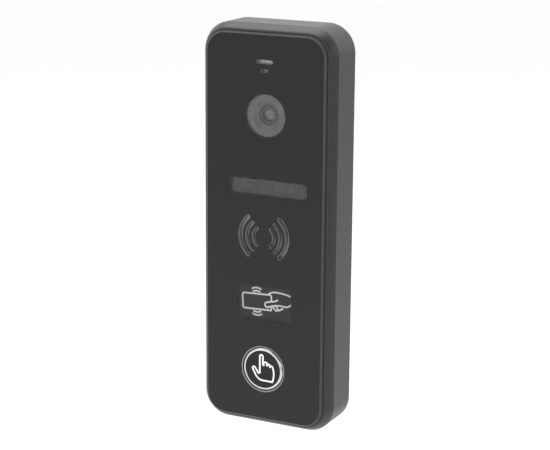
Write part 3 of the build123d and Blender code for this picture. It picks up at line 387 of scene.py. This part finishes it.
def bare_metal(name, colour, rough, stretch=(60.0, 2500.0, 2500.0), depth=0.002 * MM, spread=0.1):
    """Rolled, turned or plated metal: fine lines, bright edges and tarnish in its corners."""
    material, tree, shader = new_material(name)
    tone = place_group(tree, TONE, Color=colour, Spread=spread, Patches_per_Metre=140.0)
    edges = place_group(tree, WEAR, Reach=0.2 * MM, Amount=0.5)
    rubbed = mix_colours(tree, edges.outputs["Mask"], tone.outputs["Color"], brighter(colour, 1.25))
    settled = place_group(tree, DUST, Amount=0.08)
    tarnished = mix_colours(tree, settled.outputs["Mask"], rubbed, TARNISH)
    tree.links.new(tarnished, shader.inputs["Base Color"])
    lines = place_group(tree, BRUSHED, Stretch=stretch)
    uneven = spread_range(tree, lines.outputs["Height"], rough * 0.7, rough * 1.3)
    tree.links.new(uneven, shader.inputs["Roughness"])
    bump(tree, lines.outputs["Height"], depth, shader)
    shader.inputs["Metallic"].default_value = 1.0
    return material


def clear_plastic(name, tint, rough=0.03):
    """Clear moulded or cut plastic, with faint wiping marks."""
    material, tree, shader = new_material(name)
    marks = place_group(tree, SMUDGE)
    wiped = mix_colours(tree, marks.outputs["Mask"], tint, grey(0.97))
    tree.links.new(wiped, shader.inputs["Base Color"])
    rough_marks = spread_range(tree, marks.outputs["Mask"], rough * 0.6, rough * 1.6)
    tree.links.new(rough_marks, shader.inputs["Roughness"])
    bump(tree, marks.outputs["Height"], MARK_DEPTH, shader)
    shader.inputs["IOR"].default_value = PANE_IOR
    shader.inputs["Transmission Weight"].default_value = 1.0
    return material


def cut_edge(name, level):
    """Routed, bevelled or turned plastic edges: satin, with the cutter's fine lines, in a grey set light
    enough to be partly painted highlight.
    """
    material, tree, shader = new_material(name)
    tone = place_group(tree, TONE, Color=grey(level), Spread=0.2, Patches_per_Metre=220.0)
    edges = place_group(tree, WEAR, Reach=0.15 * MM, Amount=0.5)
    # Painted highlight in part: the rounded edges are made twice as light.
    bright = mix_colours(tree, edges.outputs["Mask"], tone.outputs["Color"], grey(2 * level))
    tree.links.new(bright, shader.inputs["Base Color"])
    lines = place_group(tree, BRUSHED, Stretch=(200.0, 9000.0, 200.0))
    tree.links.new(spread_range(tree, lines.outputs["Height"], 0.2, 0.35), shader.inputs["Roughness"])
    bump(tree, lines.outputs["Height"], 0.002 * MM, shader)
    shader.inputs["Specular IOR Level"].default_value = 0.12
    return material


def backed_pane(name):
    """The polished pane where black ink is bonded to its back."""
    material, tree, shader = new_material(name)
    tone = place_group(tree, TONE, Color=grey(0.0045), Spread=0.04, Specks_per_Metre=5000.0)
    tree.links.new(tone.outputs["Color"], shader.inputs["Base Color"])
    marks = place_group(tree, SMUDGE)
    tree.links.new(spread_range(tree, marks.outputs["Mask"], 0.02, 0.05), shader.inputs["Roughness"])
    bump(tree, marks.outputs["Height"], MARK_DEPTH, shader)
    shader.inputs["IOR"].default_value = PANE_IOR
    return material


def printed(name, colour):
    """Screen-printed ink: even, matt, with the screen's faint mesh."""
    material, tree, shader = new_material(name)
    tone = place_group(tree, TONE, Color=colour, Spread=0.04, Specks_per_Metre=5000.0)
    tree.links.new(tone.outputs["Color"], shader.inputs["Base Color"])
    grain = place_group(tree, GRAIN, Cells_per_Metre=7000.0)
    tree.links.new(spread_range(tree, grain.outputs["Height"], 0.6, 0.8), shader.inputs["Roughness"])
    bump(tree, grain.outputs["Height"], 0.0012 * MM, shader)
    shader.inputs["Specular IOR Level"].default_value = 0.0
    return material


def circuit_board(name):
    """Green solder mask over copper tracks, rubbed to bare board at its edges."""
    material, tree, shader = new_material(name)
    point = object_point(tree)
    tracks = tree.nodes.new("ShaderNodeTexBrick")
    tracks.offset = 0.37
    for label, value in (("Scale", 420.0), ("Mortar Size", 0.055), ("Brick Width", 1.7),
                         ("Row Height", 0.6)):
        tracks.inputs[label].default_value = value
    turn = tree.nodes.new("ShaderNodeMapping")
    turn.inputs["Rotation"].default_value = (radians(90), 0, 0)
    tree.links.new(point, turn.inputs["Vector"])
    tree.links.new(turn.outputs["Vector"], tracks.inputs["Vector"])
    broken = noise(tree, point, 180.0, detail=1.0)
    laid = math_node(tree, "GREATER_THAN", broken, 0.47)
    shown = math_node(tree, "MULTIPLY", tracks.outputs["Fac"], laid)
    tone = place_group(tree, TONE, Color=SOLDER_MASK, Spread=0.12)
    over_copper = mix_colours(tree, shown, tone.outputs["Color"], MASK_OVER_COPPER)
    edges = place_group(tree, WEAR, Reach=0.2 * MM, Amount=0.5)
    bare = mix_colours(tree, edges.outputs["Mask"], over_copper, BARE_BOARD)
    tree.links.new(bare, shader.inputs["Base Color"])
    tree.links.new(spread_range(tree, broken, 0.28, 0.4), shader.inputs["Roughness"])
    bump(tree, shown, 0.03 * MM, shader)
    return material


def wire_weave(name):
    """Drawn wire of a woven mesh: grey, uneven and slightly dull."""
    material, tree, shader = new_material(name)
    tone = place_group(tree, TONE, Color=grey(0.55), Spread=0.2, Patches_per_Metre=300.0)
    lines = place_group(tree, BRUSHED, Stretch=(3000.0, 3000.0, 3000.0))
    tree.links.new(tone.outputs["Color"], shader.inputs["Base Color"])
    tree.links.new(spread_range(tree, lines.outputs["Height"], 0.35, 0.55), shader.inputs["Roughness"])
    bump(tree, lines.outputs["Height"], 0.004 * MM, shader)
    shader.inputs["Metallic"].default_value = 0.3
    return material


def wound_wire(name, colour):
    """Enamelled wire laid in close turns, seen as fine ridges, with painted shade: a dark copy of the
    copper in the gaps between turns.
    """
    material, tree, shader = new_material(name)
    ridges = tree.nodes.new("ShaderNodeTexWave")
    ridges.bands_direction = "Y"
    ridges.inputs["Scale"].default_value = 900.0
    ridges.inputs["Distortion"].default_value = 0.4
    tree.links.new(object_point(tree), ridges.inputs["Vector"])
    tone = place_group(tree, TONE, Color=colour, Spread=0.15)
    # Painted shade: the troughs between turns take the dark copper colour.
    ridged = mix_colours(tree, ridges.outputs["Fac"], WIRE_GAP_SHADE, tone.outputs["Color"])
    tree.links.new(ridged, shader.inputs["Base Color"])
    tree.links.new(spread_range(tree, ridges.outputs["Fac"], 0.3, 0.45), shader.inputs["Roughness"])
    bump(tree, ridges.outputs["Fac"], 0.03 * MM, shader)
    shader.inputs["Metallic"].default_value = 0.8
    return material


def woven_cloth(name, colour):
    """Acoustic cloth: threads over and under at a fine pitch, with painted shade in the gaps between
    threads.
    """
    material, tree, shader = new_material(name)
    point = object_point(tree)
    threads = []
    for direction in ("X", "Z"):
        wave = tree.nodes.new("ShaderNodeTexWave")
        wave.bands_direction = direction
        wave.inputs["Scale"].default_value = 1100.0
        wave.inputs["Distortion"].default_value = 0.3
        tree.links.new(point, wave.inputs["Vector"])
        threads.append(wave.outputs["Fac"])
    weave = math_node(tree, "MAXIMUM", threads[0], threads[1])
    tone = place_group(tree, TONE, Color=colour, Spread=0.1)
    # Painted shade: the gaps between threads take the cloth colour at under half its lightness.
    shaded_threads = mix_colours(tree, weave, brighter(colour, 0.45), tone.outputs["Color"])
    tree.links.new(shaded_threads, shader.inputs["Base Color"])
    tree.links.new(spread_range(tree, weave, 0.95, 0.8), shader.inputs["Roughness"])
    bump(tree, weave, 0.03 * MM, shader)
    return material


def smoked_plastic(name, tint):
    """Smoked, slightly diffusing plastic over the lamps."""
    material, tree, shader = new_material(name)
    tone = place_group(tree, TONE, Color=tint, Spread=0.06)
    tree.links.new(tone.outputs["Color"], shader.inputs["Base Color"])
    grain = place_group(tree, GRAIN, Cells_per_Metre=2500.0)
    tree.links.new(spread_range(tree, grain.outputs["Height"], 0.03, 0.07), shader.inputs["Roughness"])
    bump(tree, grain.outputs["Height"], 0.0015 * MM, shader)
    shader.inputs["Specular IOR Level"].default_value = 0.0
    shader.inputs["IOR"].default_value = WINDOW_IOR
    shader.inputs["Transmission Weight"].default_value = 1.0
    return material


def coated_glass(name):
    """A camera lens: clear glass with an anti-reflection coat that looks faintly violet."""
    material, tree, shader = new_material(name)
    marks = place_group(tree, SMUDGE, Marks_per_Metre=400.0)
    tint = mix_colours(tree, marks.outputs["Mask"], LENS_TINT, LENS_TINT_MARKED)
    tree.links.new(tint, shader.inputs["Base Color"])
    tree.links.new(spread_range(tree, marks.outputs["Mask"], 0.01, 0.03), shader.inputs["Roughness"])
    shader.inputs["IOR"].default_value = LENS_IOR
    shader.inputs["Transmission Weight"].default_value = 1.0
    return material


def make_finishes():
    """Make one material for each of the record's material slots."""
    return {
        "housing_paint": coated("housing_paint", grey(0.026), 0.42, cells=2600.0, depth=0.010 * MM,
                                worn=grey(0.075), wear=0.35, dust=0.05),
        "cover_plastic": coated("cover_plastic", grey(0.022), 0.52, cells=1800.0, depth=0.014 * MM,
                                dust=0.15),
        "zinc_steel": bare_metal("zinc_steel", (0.60, 0.61, 0.62, 1), 0.36),
        "screw_steel": bare_metal("screw_steel", (0.42, 0.42, 0.43, 1), 0.30,
                                  stretch=(2500.0, 2500.0, 2500.0)),
        "seal_rubber": coated("seal_rubber", grey(0.014), 0.72, cells=2200.0, depth=0.008 * MM, dust=0.2),
        "adhesive_foam": coated("adhesive_foam", grey(0.018), 0.9, cells=2600.0, depth=0.04 * MM,
                                wear=0.1),
        "print_black": printed("print_black", grey(0.040)),
        "print_white": printed("print_white", grey(0.97)),
        "pane_clear": clear_plastic("pane_clear", (0.985, 0.985, 0.985, 1)),
        "pale_cloth": woven_cloth("pale_cloth", grey(0.93, 0.01)),
        "can_aluminium": bare_metal("can_aluminium", (0.72, 0.72, 0.73, 1), 0.28),
        "lamp_resin": coated("lamp_resin", (0.93, 0.91, 0.82, 1), 0.3, cells=900.0, depth=0.002 * MM,
                             wear=0.1),
        "guide_clear": clear_plastic("guide_clear", (0.93, 0.95, 0.96, 1), rough=0.08),
        "bezel_grey": coated("bezel_grey", grey(0.115), 0.22, cells=3500.0, depth=0.005 * MM, wear=0.25,
                             dust=0.02),
        "barrel_black": coated("barrel_black", grey(0.060), 0.18, cells=4000.0, depth=0.003 * MM,
                               dust=0.02),
        "lens_glass": coated_glass("lens_glass"),
        "chip_black": coated("chip_black", grey(0.020), 0.5, cells=4500.0, depth=0.006 * MM, dust=0.05),
        "board_green": circuit_board("board_green"),
        "header_black": coated("header_black", grey(0.016), 0.42, cells=3500.0, depth=0.004 * MM,
                               dust=0.05),
        "window_smoke": smoked_plastic("window_smoke", grey(0.19)),
        "mesh_grey": wire_weave("mesh_grey"),
        "cone_black": coated("cone_black", grey(0.016), 0.65, cells=1500.0, depth=0.02 * MM, dust=0.08),
        "coil_copper": wound_wire("coil_copper", (0.62, 0.25, 0.11, 1)),
        "magnet_nickel": bare_metal("magnet_nickel", (0.62, 0.60, 0.56, 1), 0.22),
        "contact_brass": bare_metal("contact_brass", (0.78, 0.58, 0.28, 1), 0.25),
        "collar_black": coated("collar_black", grey(0.026), 0.30, cells=3500.0, depth=0.003 * MM, wear=0.3,
                               dust=0.03),
        "cap_black": coated("cap_black", grey(0.006), 0.10, cells=500.0, depth=0.0005 * MM, spread=0.15,
                            wear=0.1, dust=0.0, rough_spread=0.03, specular=0.35),
        "ring_chrome": bare_metal("ring_chrome", (0.62, 0.62, 0.63, 1), 0.15, depth=0.0005 * MM,
                                  stretch=(900.0, 900.0, 900.0), spread=0.05),
        "plunger_white": coated("plunger_white", grey(0.72, 0.03), 0.42, cells=2500.0, depth=0.004 * MM),
        "trimmer_blue": coated("trimmer_blue", (0.02, 0.09, 0.42, 1), 0.4, cells=3000.0, depth=0.004 * MM),
        "option_red": coated("option_red", (0.45, 0.018, 0.016, 1), 0.4, cells=3000.0, depth=0.004 * MM),
    }


FINISHES = make_finishes()
BODY_OF = {name: body for body, names in frame["record"]["behaviour"]["bodies"].items()
           for name in names}
SLOT_OF = {name: node.material_slots[0].material.name.split(".")[0]
           for name, node in frame["nodes"].items()}


def dress_cad_nodes():
    """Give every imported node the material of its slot."""
    for name, node in frame["nodes"].items():
        node.data.materials.clear()
        node.data.materials.append(FINISHES[SLOT_OF[name]])


# ---------------------------------------------------------------- mesh helpers
def finish_piece(shape, name, *stands_for, more_finishes=(), sharp=SHARP_ANGLE, flat_facing=False):
    """Turn a bmesh into a piece that rides, and is finished, as the nodes that it stands for.

    Faces that look straight out or back are shaded flat when flat_facing is set.
    """
    mesh = bpy.data.meshes.new(name)
    shape.to_mesh(mesh)
    shape.free()
    for left_over in ("custom_normal", "sharp_edge", "sharp_face"):
        if left_over in mesh.attributes:
            mesh.attributes.remove(mesh.attributes[left_over])
    mesh.shade_smooth()
    mesh.set_sharp_from_angle(angle=sharp)
    if flat_facing:
        for polygon in mesh.polygons:
            polygon.use_smooth = abs(polygon.normal.y) < STRAIGHT_OUT
    piece = bpy.data.objects.new(name, mesh)
    bpy.context.collection.objects.link(piece)
    if not flat_facing:
        piece.modifiers.new("even_shading", "WEIGHTED_NORMAL").keep_sharp = True
    slot = SLOT_OF[stands_for[0]]
    for finish in (FINISHES[slot], *more_finishes):
        mesh.materials.append(finish)
    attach(piece, BODY_OF[stands_for[0]])
    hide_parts(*stands_for)
    return piece


def merged(node):
    """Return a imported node's mesh as one joined surface."""
    shape = bmesh.new()
    shape.from_mesh(frame["nodes"][node].data)
    bmesh.ops.remove_doubles(shape, verts=shape.verts, dist=JOIN)
    return shape


def soften(shape, width, segments=2, chosen=lambda edge: True, angle=SHARP_ANGLE):
    """Round the chosen sharp edges."""
    sharp = [edge for edge in shape.edges
             if len(edge.link_faces) == 2 and edge.calc_face_angle() > angle and chosen(edge)]
    bmesh.ops.bevel(shape, geom=sharp, offset=width, offset_type="OFFSET", affect="EDGES",
                    segments=segments, profile=0.5, material=-1, clamp_overlap=True)


def at_depth(edge, depth):
    """Whether both ends of an edge lie at a depth."""
    return all(abs(corner.co.y + depth) < LEVEL_SLACK for corner in edge.verts)


def turned(node, name, outline, round_off=0.0):
    """Spin (radius, drop) corners, in millimetres, into a finer copy of a round node.

    The drop is measured back from the node's front, and the axis runs through its middle.
    """
    low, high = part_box(node)
    x, z = (low.x + high.x) / 2, (low.z + high.z) / 2
    shape = bmesh.new()
    corners = [shape.verts.new((x + radius * MM, low.y + drop * MM, z)) for radius, drop in outline]
    for first, second in zip(corners, corners[1:]):
        shape.edges.new((first, second))
    if outline[0][0] > 0:
        shape.edges.new((corners[-1], corners[0]))
    bmesh.ops.spin(shape, geom=shape.verts[:] + shape.edges[:], cent=(x, 0, z), axis=(0, 1, 0),
                   angle=2 * pi, steps=TURN_STEPS, use_merge=True, use_duplicate=False)
    bmesh.ops.remove_doubles(shape, verts=shape.verts, dist=JOIN)
    bmesh.ops.recalc_face_normals(shape, faces=shape.faces)
    if round_off:
        soften(shape, round_off * MM, segments=3)
    return finish_piece(shape, name, node)


def dome(radius, height, steps=12):
    """Return (radius, drop) corners of a dome from its rim to its middle."""
    shares = [1 - step / steps for step in range(steps + 1)]
    return [(radius * share, height * share ** 2) for share in shares]


def rounded(node, name, width):
    """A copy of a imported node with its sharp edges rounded."""
    shape = merged(node)
    soften(shape, width)
    return finish_piece(shape, name, node)


# ---------------------------------------------------------------- finer pieces
BOND = 0.02 * MM
BODY_CORNER = 10.0 * MM
BAND_BACK = 13.5 * MM
BAND_CUTS = 6
BAND_CROWN = 0.16 * MM
BAND_LEAN_SLACK = 0.02
BAND_MIDDLE = (0.01, 0.99)
RIM_SLOPE = (-0.95, -0.1)
HOUSING_SHARP = radians(13)
RIM_ROUND = 0.3 * MM
BACK_ROUND = 0.35 * MM
PANE_EDGE_ROUND = 0.10 * MM
SLOT_EDGE_ROUND = 0.18 * MM
EDGE_BAND = 1.5 * MM
WINDOW_MARGIN = 1.0 * MM
CARD_MARGIN = 0.8 * MM
CAMERA_CLEAR = 8.0 * MM
LAMP_FLANGE = 1.5 * MM
WEAVE_PITCH = 0.42 * MM
WEAVE_HEIGHT = 0.06 * MM
WEAVE_THICKNESS = 0.07 * MM
WEAVE_STEPS = 8
WIRE_SHARE = 0.25
# Grey of the pane's satin cut edge, raised to serve as painted highlight.
CUT_EDGE_SATIN_AND_HIGHLIGHT = 0.08
# Light grey of the pane's slot walls: painted highlight.
SLOT_WALL_HIGHLIGHT_LEVEL = 0.28
CLEAR, CUT, BACKED, WALL = range(4)


def make_housing():
    """The painted front housing: a slightly crowned front band, and rounded rims front and back."""
    shape = merged("front_housing")
    low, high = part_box("front_housing")
    rim = -low.y
    band_lean = min(face.normal.y for face in shape.faces
                    if at_depth(face.edges[0], BAND_BACK) or at_depth(face.edges[1], BAND_BACK))
    band = [face for face in shape.faces if abs(face.normal.y - band_lean) < BAND_LEAN_SLACK]
    step = (rim - BAND_BACK) / BAND_CUTS
    for cut in range(1, BAND_CUTS):
        around = {part for face in band if face.is_valid for part in (face, *face.edges, *face.verts)}
        bmesh.ops.bisect_plane(shape, geom=list(around), dist=JOIN,
                               plane_co=(0, -BAND_BACK - cut * step, 0), plane_no=(0, 1, 0))
        shape.normal_update()
        band = [face for face in shape.faces if abs(face.normal.y - band_lean) < BAND_LEAN_SLACK]
    crowned = {corner for face in band for corner in face.verts}
    for corner in crowned:
        share = (-corner.co.y - BAND_BACK) / (rim - BAND_BACK)
        if BAND_MIDDLE[0] < share < BAND_MIDDLE[1]:
            lean = sum((face.normal for face in corner.link_faces), Vector()).normalized()
            corner.co += lean * BAND_CROWN * 4 * share * (1 - share)
    soften(shape, RIM_ROUND, segments=3, angle=RIM_ANGLE,
           chosen=lambda edge: at_depth(edge, rim) and any(
               RIM_SLOPE[0] < face.normal.y < RIM_SLOPE[1] for face in edge.link_faces))
    soften(shape, BACK_ROUND, segments=3, angle=RIM_ANGLE,
           chosen=lambda edge: at_depth(edge, 0) and is_outer(edge, high))
    return finish_piece(shape, "housing_shell", "front_housing", sharp=HOUSING_SHARP)


def is_outer(edge, high):
    """Whether an edge lies on the outline whose box reaches high, corners included."""
    return all(abs(corner.co.x) > high.x - JOIN or abs(corner.co.z) > high.z - JOIN
               or corner_distance(corner.co, high) > BODY_CORNER - OUTLINE_SLACK for corner in edge.verts)


def corner_distance(point, high):
    """Return how far a point in a corner square is from the middle of that corner's arc, else zero."""
    across, along = abs(point.x) - (high.x - BODY_CORNER), abs(point.z) - (high.z - BODY_CORNER)
    if across < 0 or along < 0:
        return 0.0
    return hypot(across, along)


def box_loop(node, margin):
    """Return the corners of a node's box, seen from the front, moved outwards."""
    low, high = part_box(node)
    left, right, bottom, top = low.x - margin, high.x + margin, low.z - margin, high.z + margin
    return [(left, bottom), (right, bottom), (right, top), (left, top)]


def round_loop(node, radius, steps=64):
    """Return points on a circle about a node's middle, seen from the front."""
    low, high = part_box(node)
    x, z = (low.x + high.x) / 2, (low.z + high.z) / 2
    return [(x + radius * cos(2 * pi * step / steps), z + radius * sin(2 * pi * step / steps))
            for step in range(steps)]


def make_pane():
    """The pane: black where it is printed behind, clear at its windows, satin where it is cut; the grey of
    its cut edges and slot walls is partly painted highlight.
    """
    shape = merged("front_pane")
    low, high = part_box("front_pane")
    front = low.y
    for face in shape.faces:
        place = face.calc_center_median()
        inside = (max(abs(place.x) - high.x, abs(place.z) - high.z) < -EDGE_BAND
                  and corner_distance(place, high) < BODY_CORNER - EDGE_BAND)
        cut_finish = WALL if inside else CUT
        face.material_index = CLEAR if abs(face.normal.y) > NEARLY_STRAIGHT_OUT else cut_finish
    face_on = [face for face in shape.faces if all(at_depth(edge, -front) for edge in face.edges)]
    bmesh.ops.delete(shape, geom=face_on, context="FACES")
    outline = [edge for edge in shape.edges if edge.is_boundary]
    windows = (round_loop("camera_bezel", CAMERA_CLEAR),
               box_loop("lamp_window", WINDOW_MARGIN - LAMP_FLANGE),
               box_loop("card_icon", CARD_MARGIN))
    for window in windows:
        corners = [shape.verts.new((x, front, z)) for x, z in window]
        outline += [shape.edges.new(pair) for pair in zip(corners, corners[1:] + corners[:1])]
        shape.faces.new(corners).material_index = CLEAR
    filled = bmesh.ops.triangle_fill(shape, use_beauty=True, use_dissolve=False, edges=outline,
                                     normal=(0, -1, 0))
    for face in filled["geom"]:
        if isinstance(face, bmesh.types.BMFace):
            face.material_index = BACKED
    bmesh.ops.recalc_face_normals(shape, faces=shape.faces)
    for finish, width in ((CUT, PANE_EDGE_ROUND), (WALL, SLOT_EDGE_ROUND)):
        rims = [edge for edge in shape.edges if at_depth(edge, -front)
                and any(face.material_index == finish for face in edge.link_faces)]
        bmesh.ops.bevel(shape, geom=rims, offset=width, offset_type="OFFSET", affect="EDGES",
                        segments=2, profile=0.5, material=finish, clamp_overlap=True)
    # The cut edges and slot walls carry painted highlight in their grey.
    return finish_piece(shape, "clear_pane", "front_pane",
                        more_finishes=(cut_edge("pane_cut_edge", CUT_EDGE_SATIN_AND_HIGHLIGHT),
                                       backed_pane("pane_black_backed"),
                                       cut_edge("pane_slot_wall_highlight", SLOT_WALL_HIGHLIGHT_LEVEL)),
                        flat_facing=True)


def make_mesh():
    """The speaker's woven wire mesh: crossings that rise and fall, with holes between the wires."""
    low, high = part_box("speaker_mesh")
    x, z = (low.x + high.x) / 2, (low.z + high.z) / 2
    reach = (high.x - low.x) / 2
    cells = round(reach / WEAVE_PITCH)
    steps = cells * WEAVE_STEPS
    shape = bmesh.new()
    bmesh.ops.create_grid(shape, x_segments=steps, y_segments=steps, size=cells * WEAVE_PITCH)
    holes = [face for face in shape.faces
             if all(abs(part / WEAVE_PITCH - round(part / WEAVE_PITCH)) > WIRE_SHARE
                    for part in face.calc_center_median().xy)]
    bmesh.ops.delete(shape, geom=holes, context="FACES")
    outside = [corner for corner in shape.verts if corner.co.length > reach - WEAVE_PITCH]
    bmesh.ops.delete(shape, geom=outside, context="VERTS")
    for corner in shape.verts:
        wave = cos(pi * corner.co.x / WEAVE_PITCH) * cos(pi * corner.co.y / WEAVE_PITCH)
        corner.co = Vector((x + corner.co.x, (low.y + high.y) / 2 - WEAVE_HEIGHT * wave, z + corner.co.y))
    bmesh.ops.recalc_face_normals(shape, faces=shape.faces)
    bmesh.ops.solidify(shape, geom=shape.faces[:], thickness=WEAVE_THICKNESS)
    bmesh.ops.recalc_face_normals(shape, faces=shape.faces)
    return finish_piece(shape, "woven_mesh", "speaker_mesh")


def bonded(node, name):
    """A printed layer pressed into the back of the pane, so that no air lies between them."""
    shape = merged(node)
    bmesh.ops.translate(shape, verts=shape.verts, vec=(0, -BOND, 0))
    return finish_piece(shape, name, node)


# Outlines of turned pieces: (radius, drop) corners in millimetres, from the back round to the front.
FUNNEL = [(3.4, 2.4), (8.4, 2.4), (8.4, 1.6), (7.45, 1.6), (7.45, 0), (5.2, 0), (4.9, 0.3), (4.0, 0.9),
          (3.4, 1.3)]
LENS_TUBE = [(1.7, 2.7), (3.1, 2.7), (3.1, 0.2), (2.9, 0), (2.5, 0), (2.2, 0.3), (2.2, 1.4), (1.7, 1.4)]
LENS_BODY = [(0, 1.2), (2.2, 1.2)] + dome(2.2, 0.7)
COLLAR = [(8.05, 5.1), (10.6, 5.1), (10.6, 4.3), (8.6, 4.3), (8.6, 0.3), (8.4, 0), (8.2, 0), (8.05, 0.2)]
CAP = [(0, 4.55), (1.5, 4.55), (1.5, 2.3), (6.6, 2.3), (6.6, 5.9), (9.3, 5.9), (9.3, 5.0), (7.8, 5.0),
       (7.8, 1.9), (6.85, 1.9), (6.85, 0), (0, 0)]
RING = [(6.85, 2.3), (7.8, 2.3), (7.8, 0.5), (7.6, 0.26), (7.4, 0.1), (7.2, 0.01), (7.05, 0), (6.9, 0.05),
        (6.85, 0.14)]
GROMMET = [(2.8, 3.4), (6.0, 3.4), (6.0, 2.4), (4.6, 2.4), (4.6, 0.8), (5.8, 0.8), (5.2, 0), (2.8, 0)]
# Ring on the front of the collar's lip that carries a painted highlight, and its grey.
LIP_INNER = 8.12 * MM
LIP_OUTER = 8.45 * MM
LIP_HIGHLIGHT_LEVEL = 0.34


def make_camera_pieces():
    """The camera's funnel, lens barrel and front lens."""
    turned("camera_bezel", "camera_funnel", FUNNEL, round_off=0.15)
    turned("lens_barrel", "lens_tube", LENS_TUBE, round_off=0.06)
    turned("front_lens", "domed_lens", LENS_BODY)


def make_button_pieces():
    """The call button's collar with a painted highlight on its lip, the cap and the plated ring."""
    low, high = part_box("button_collar")
    x, z = (low.x + high.x) / 2, (low.z + high.z) / 2
    collar = turned("button_collar", "lipped_collar", COLLAR, round_off=0.06)
    # Painted highlight: the lip's front faces get a light grey ring all round.
    collar.data.materials.append(cut_edge("collar_lip_highlight", LIP_HIGHLIGHT_LEVEL))
    for face in collar.data.polygons:
        away = hypot(face.center.x - x, face.center.z - z)
        if LIP_INNER < away < LIP_OUTER and face.normal.y < 0:
            face.material_index = 1
    turned("button_cap", "polished_cap", CAP, round_off=0.1)
    turned("button_ring", "crowned_ring", RING)


def make_rear_pieces():
    """What shows from behind: the cable grommet, the bracket, the cover and their screws."""
    turned("cable_grommet", "soft_grommet", GROMMET, round_off=0.25)
    rounded("wall_bracket", "pressed_bracket", 0.15 * MM)
    rounded("rear_cover", "moulded_cover", 0.12 * MM)
    rounded("cover_screws", "driven_screws", 0.05 * MM)
    rounded("retaining_screw", "locking_screw", 0.05 * MM)


# ---------------------------------------------------------------- floor and light
FLOOR_DROP = 0.35
FLOOR_REACH = 9.0
# Painted shade on the floor: from and to where it greys on the right, and its lightness at each end.
FLOOR_SHADE_FADE = (0.7, 1.7, 0.98, 0.42)
SURROUND_LEVEL = 1.22
GAP_DIRECTION = (0.60, -0.27, 0.74)
GAP_LEVEL = 0.14
GAP_INNER = radians(24)
GAP_OUTER = radians(38)
OVERHEAD_LIGHT = ((-0.25, 0.25, 1.25), 1.1, 2.6)
LEFT_FRONT_LIGHT = ((-0.9, -1.1, 0.75), 0.45, 1.5)


def floor_finish():
    """Pale floor, greyer far out on the right as painted shade, which darkens the reflections on faces
    turned to the right.
    """
    material, tree, shader = new_material("floor_white")
    parts = tree.nodes.new("ShaderNodeSeparateXYZ")
    tree.links.new(object_point(tree), parts.inputs[0])
    level = tree.nodes.new("ShaderNodeMapRange")
    level.interpolation_type = "SMOOTHSTEP"
    tree.links.new(parts.outputs["X"], level.inputs["Value"])
    for label, value in zip(("From Min", "From Max", "To Min", "To Max"), FLOOR_SHADE_FADE):
        level.inputs[label].default_value = value
    tree.links.new(level.outputs["Result"], shader.inputs["Base Color"])
    shader.inputs["Roughness"].default_value = 0.9
    shader.inputs["Specular IOR Level"].default_value = 0.0
    return material


def add_stage():
    """A pale floor that runs to the horizon, well below the panel, as below a wall unit."""
    lowest = cad_box[0].z
    shape = bmesh.new()
    bmesh.ops.create_grid(shape, x_segments=1, y_segments=1, size=FLOOR_REACH)
    bmesh.ops.translate(shape, verts=shape.verts, vec=(0, 0, lowest - FLOOR_DROP))
    mesh = bpy.data.meshes.new("floor")
    shape.to_mesh(mesh)
    shape.free()
    mesh.materials.append(floor_finish())
    floor = bpy.data.objects.new("floor", mesh)
    bpy.context.collection.objects.link(floor)


def area_light(name, place, size, radiance):
    """Add a square soft light of a size in metres that faces the panel."""
    light = bpy.data.lights.new(name, "AREA")
    light.size = size
    light.energy = radiance * pi * size * size
    lamp = bpy.data.objects.new(name, light)
    position = Vector(place)
    turn = position.to_track_quat("Z", "Y").to_matrix().to_4x4()
    lamp.matrix_world = Matrix.Translation(position) @ turn
    bpy.context.collection.objects.link(lamp)


def add_light():
    """White surroundings with a dark gap high on the right, and soft lights overhead and at left."""
    world = bpy.data.worlds.new("surroundings")
    bpy.context.scene.world = world
    world.use_nodes = True
    tree = world.node_tree
    toward_gap = tree.nodes.new("ShaderNodeVectorMath")
    toward_gap.operation = "DOT_PRODUCT"
    direction = tree.nodes.new("ShaderNodeTexCoord").outputs["Generated"]
    tree.links.new(direction, toward_gap.inputs[0])
    toward_gap.inputs[1].default_value = Vector(GAP_DIRECTION).normalized()
    level = tree.nodes.new("ShaderNodeMapRange")
    level.interpolation_type = "SMOOTHSTEP"
    tree.links.new(toward_gap.outputs["Value"], level.inputs["Value"])
    level.inputs["From Min"].default_value = cos(GAP_OUTER)
    level.inputs["From Max"].default_value = cos(GAP_INNER)
    level.inputs["To Min"].default_value = SURROUND_LEVEL
    level.inputs["To Max"].default_value = GAP_LEVEL
    tree.links.new(level.outputs["Result"], tree.nodes["Background"].inputs["Strength"])
    tree.nodes["Background"].inputs["Color"].default_value = WHITE
    area_light("overhead", *OVERHEAD_LIGHT)
    area_light("left_front", *LEFT_FRONT_LIGHT)
    bpy.context.scene.view_settings.view_transform = "Standard"


add_camera()
dress_cad_nodes()
make_housing()
make_pane()
make_mesh()
bonded("pane_print", "pane_black")
bonded("card_icon", "card_mark")
make_camera_pieces()
make_button_pieces()
make_rear_pieces()
add_stage()
add_light()
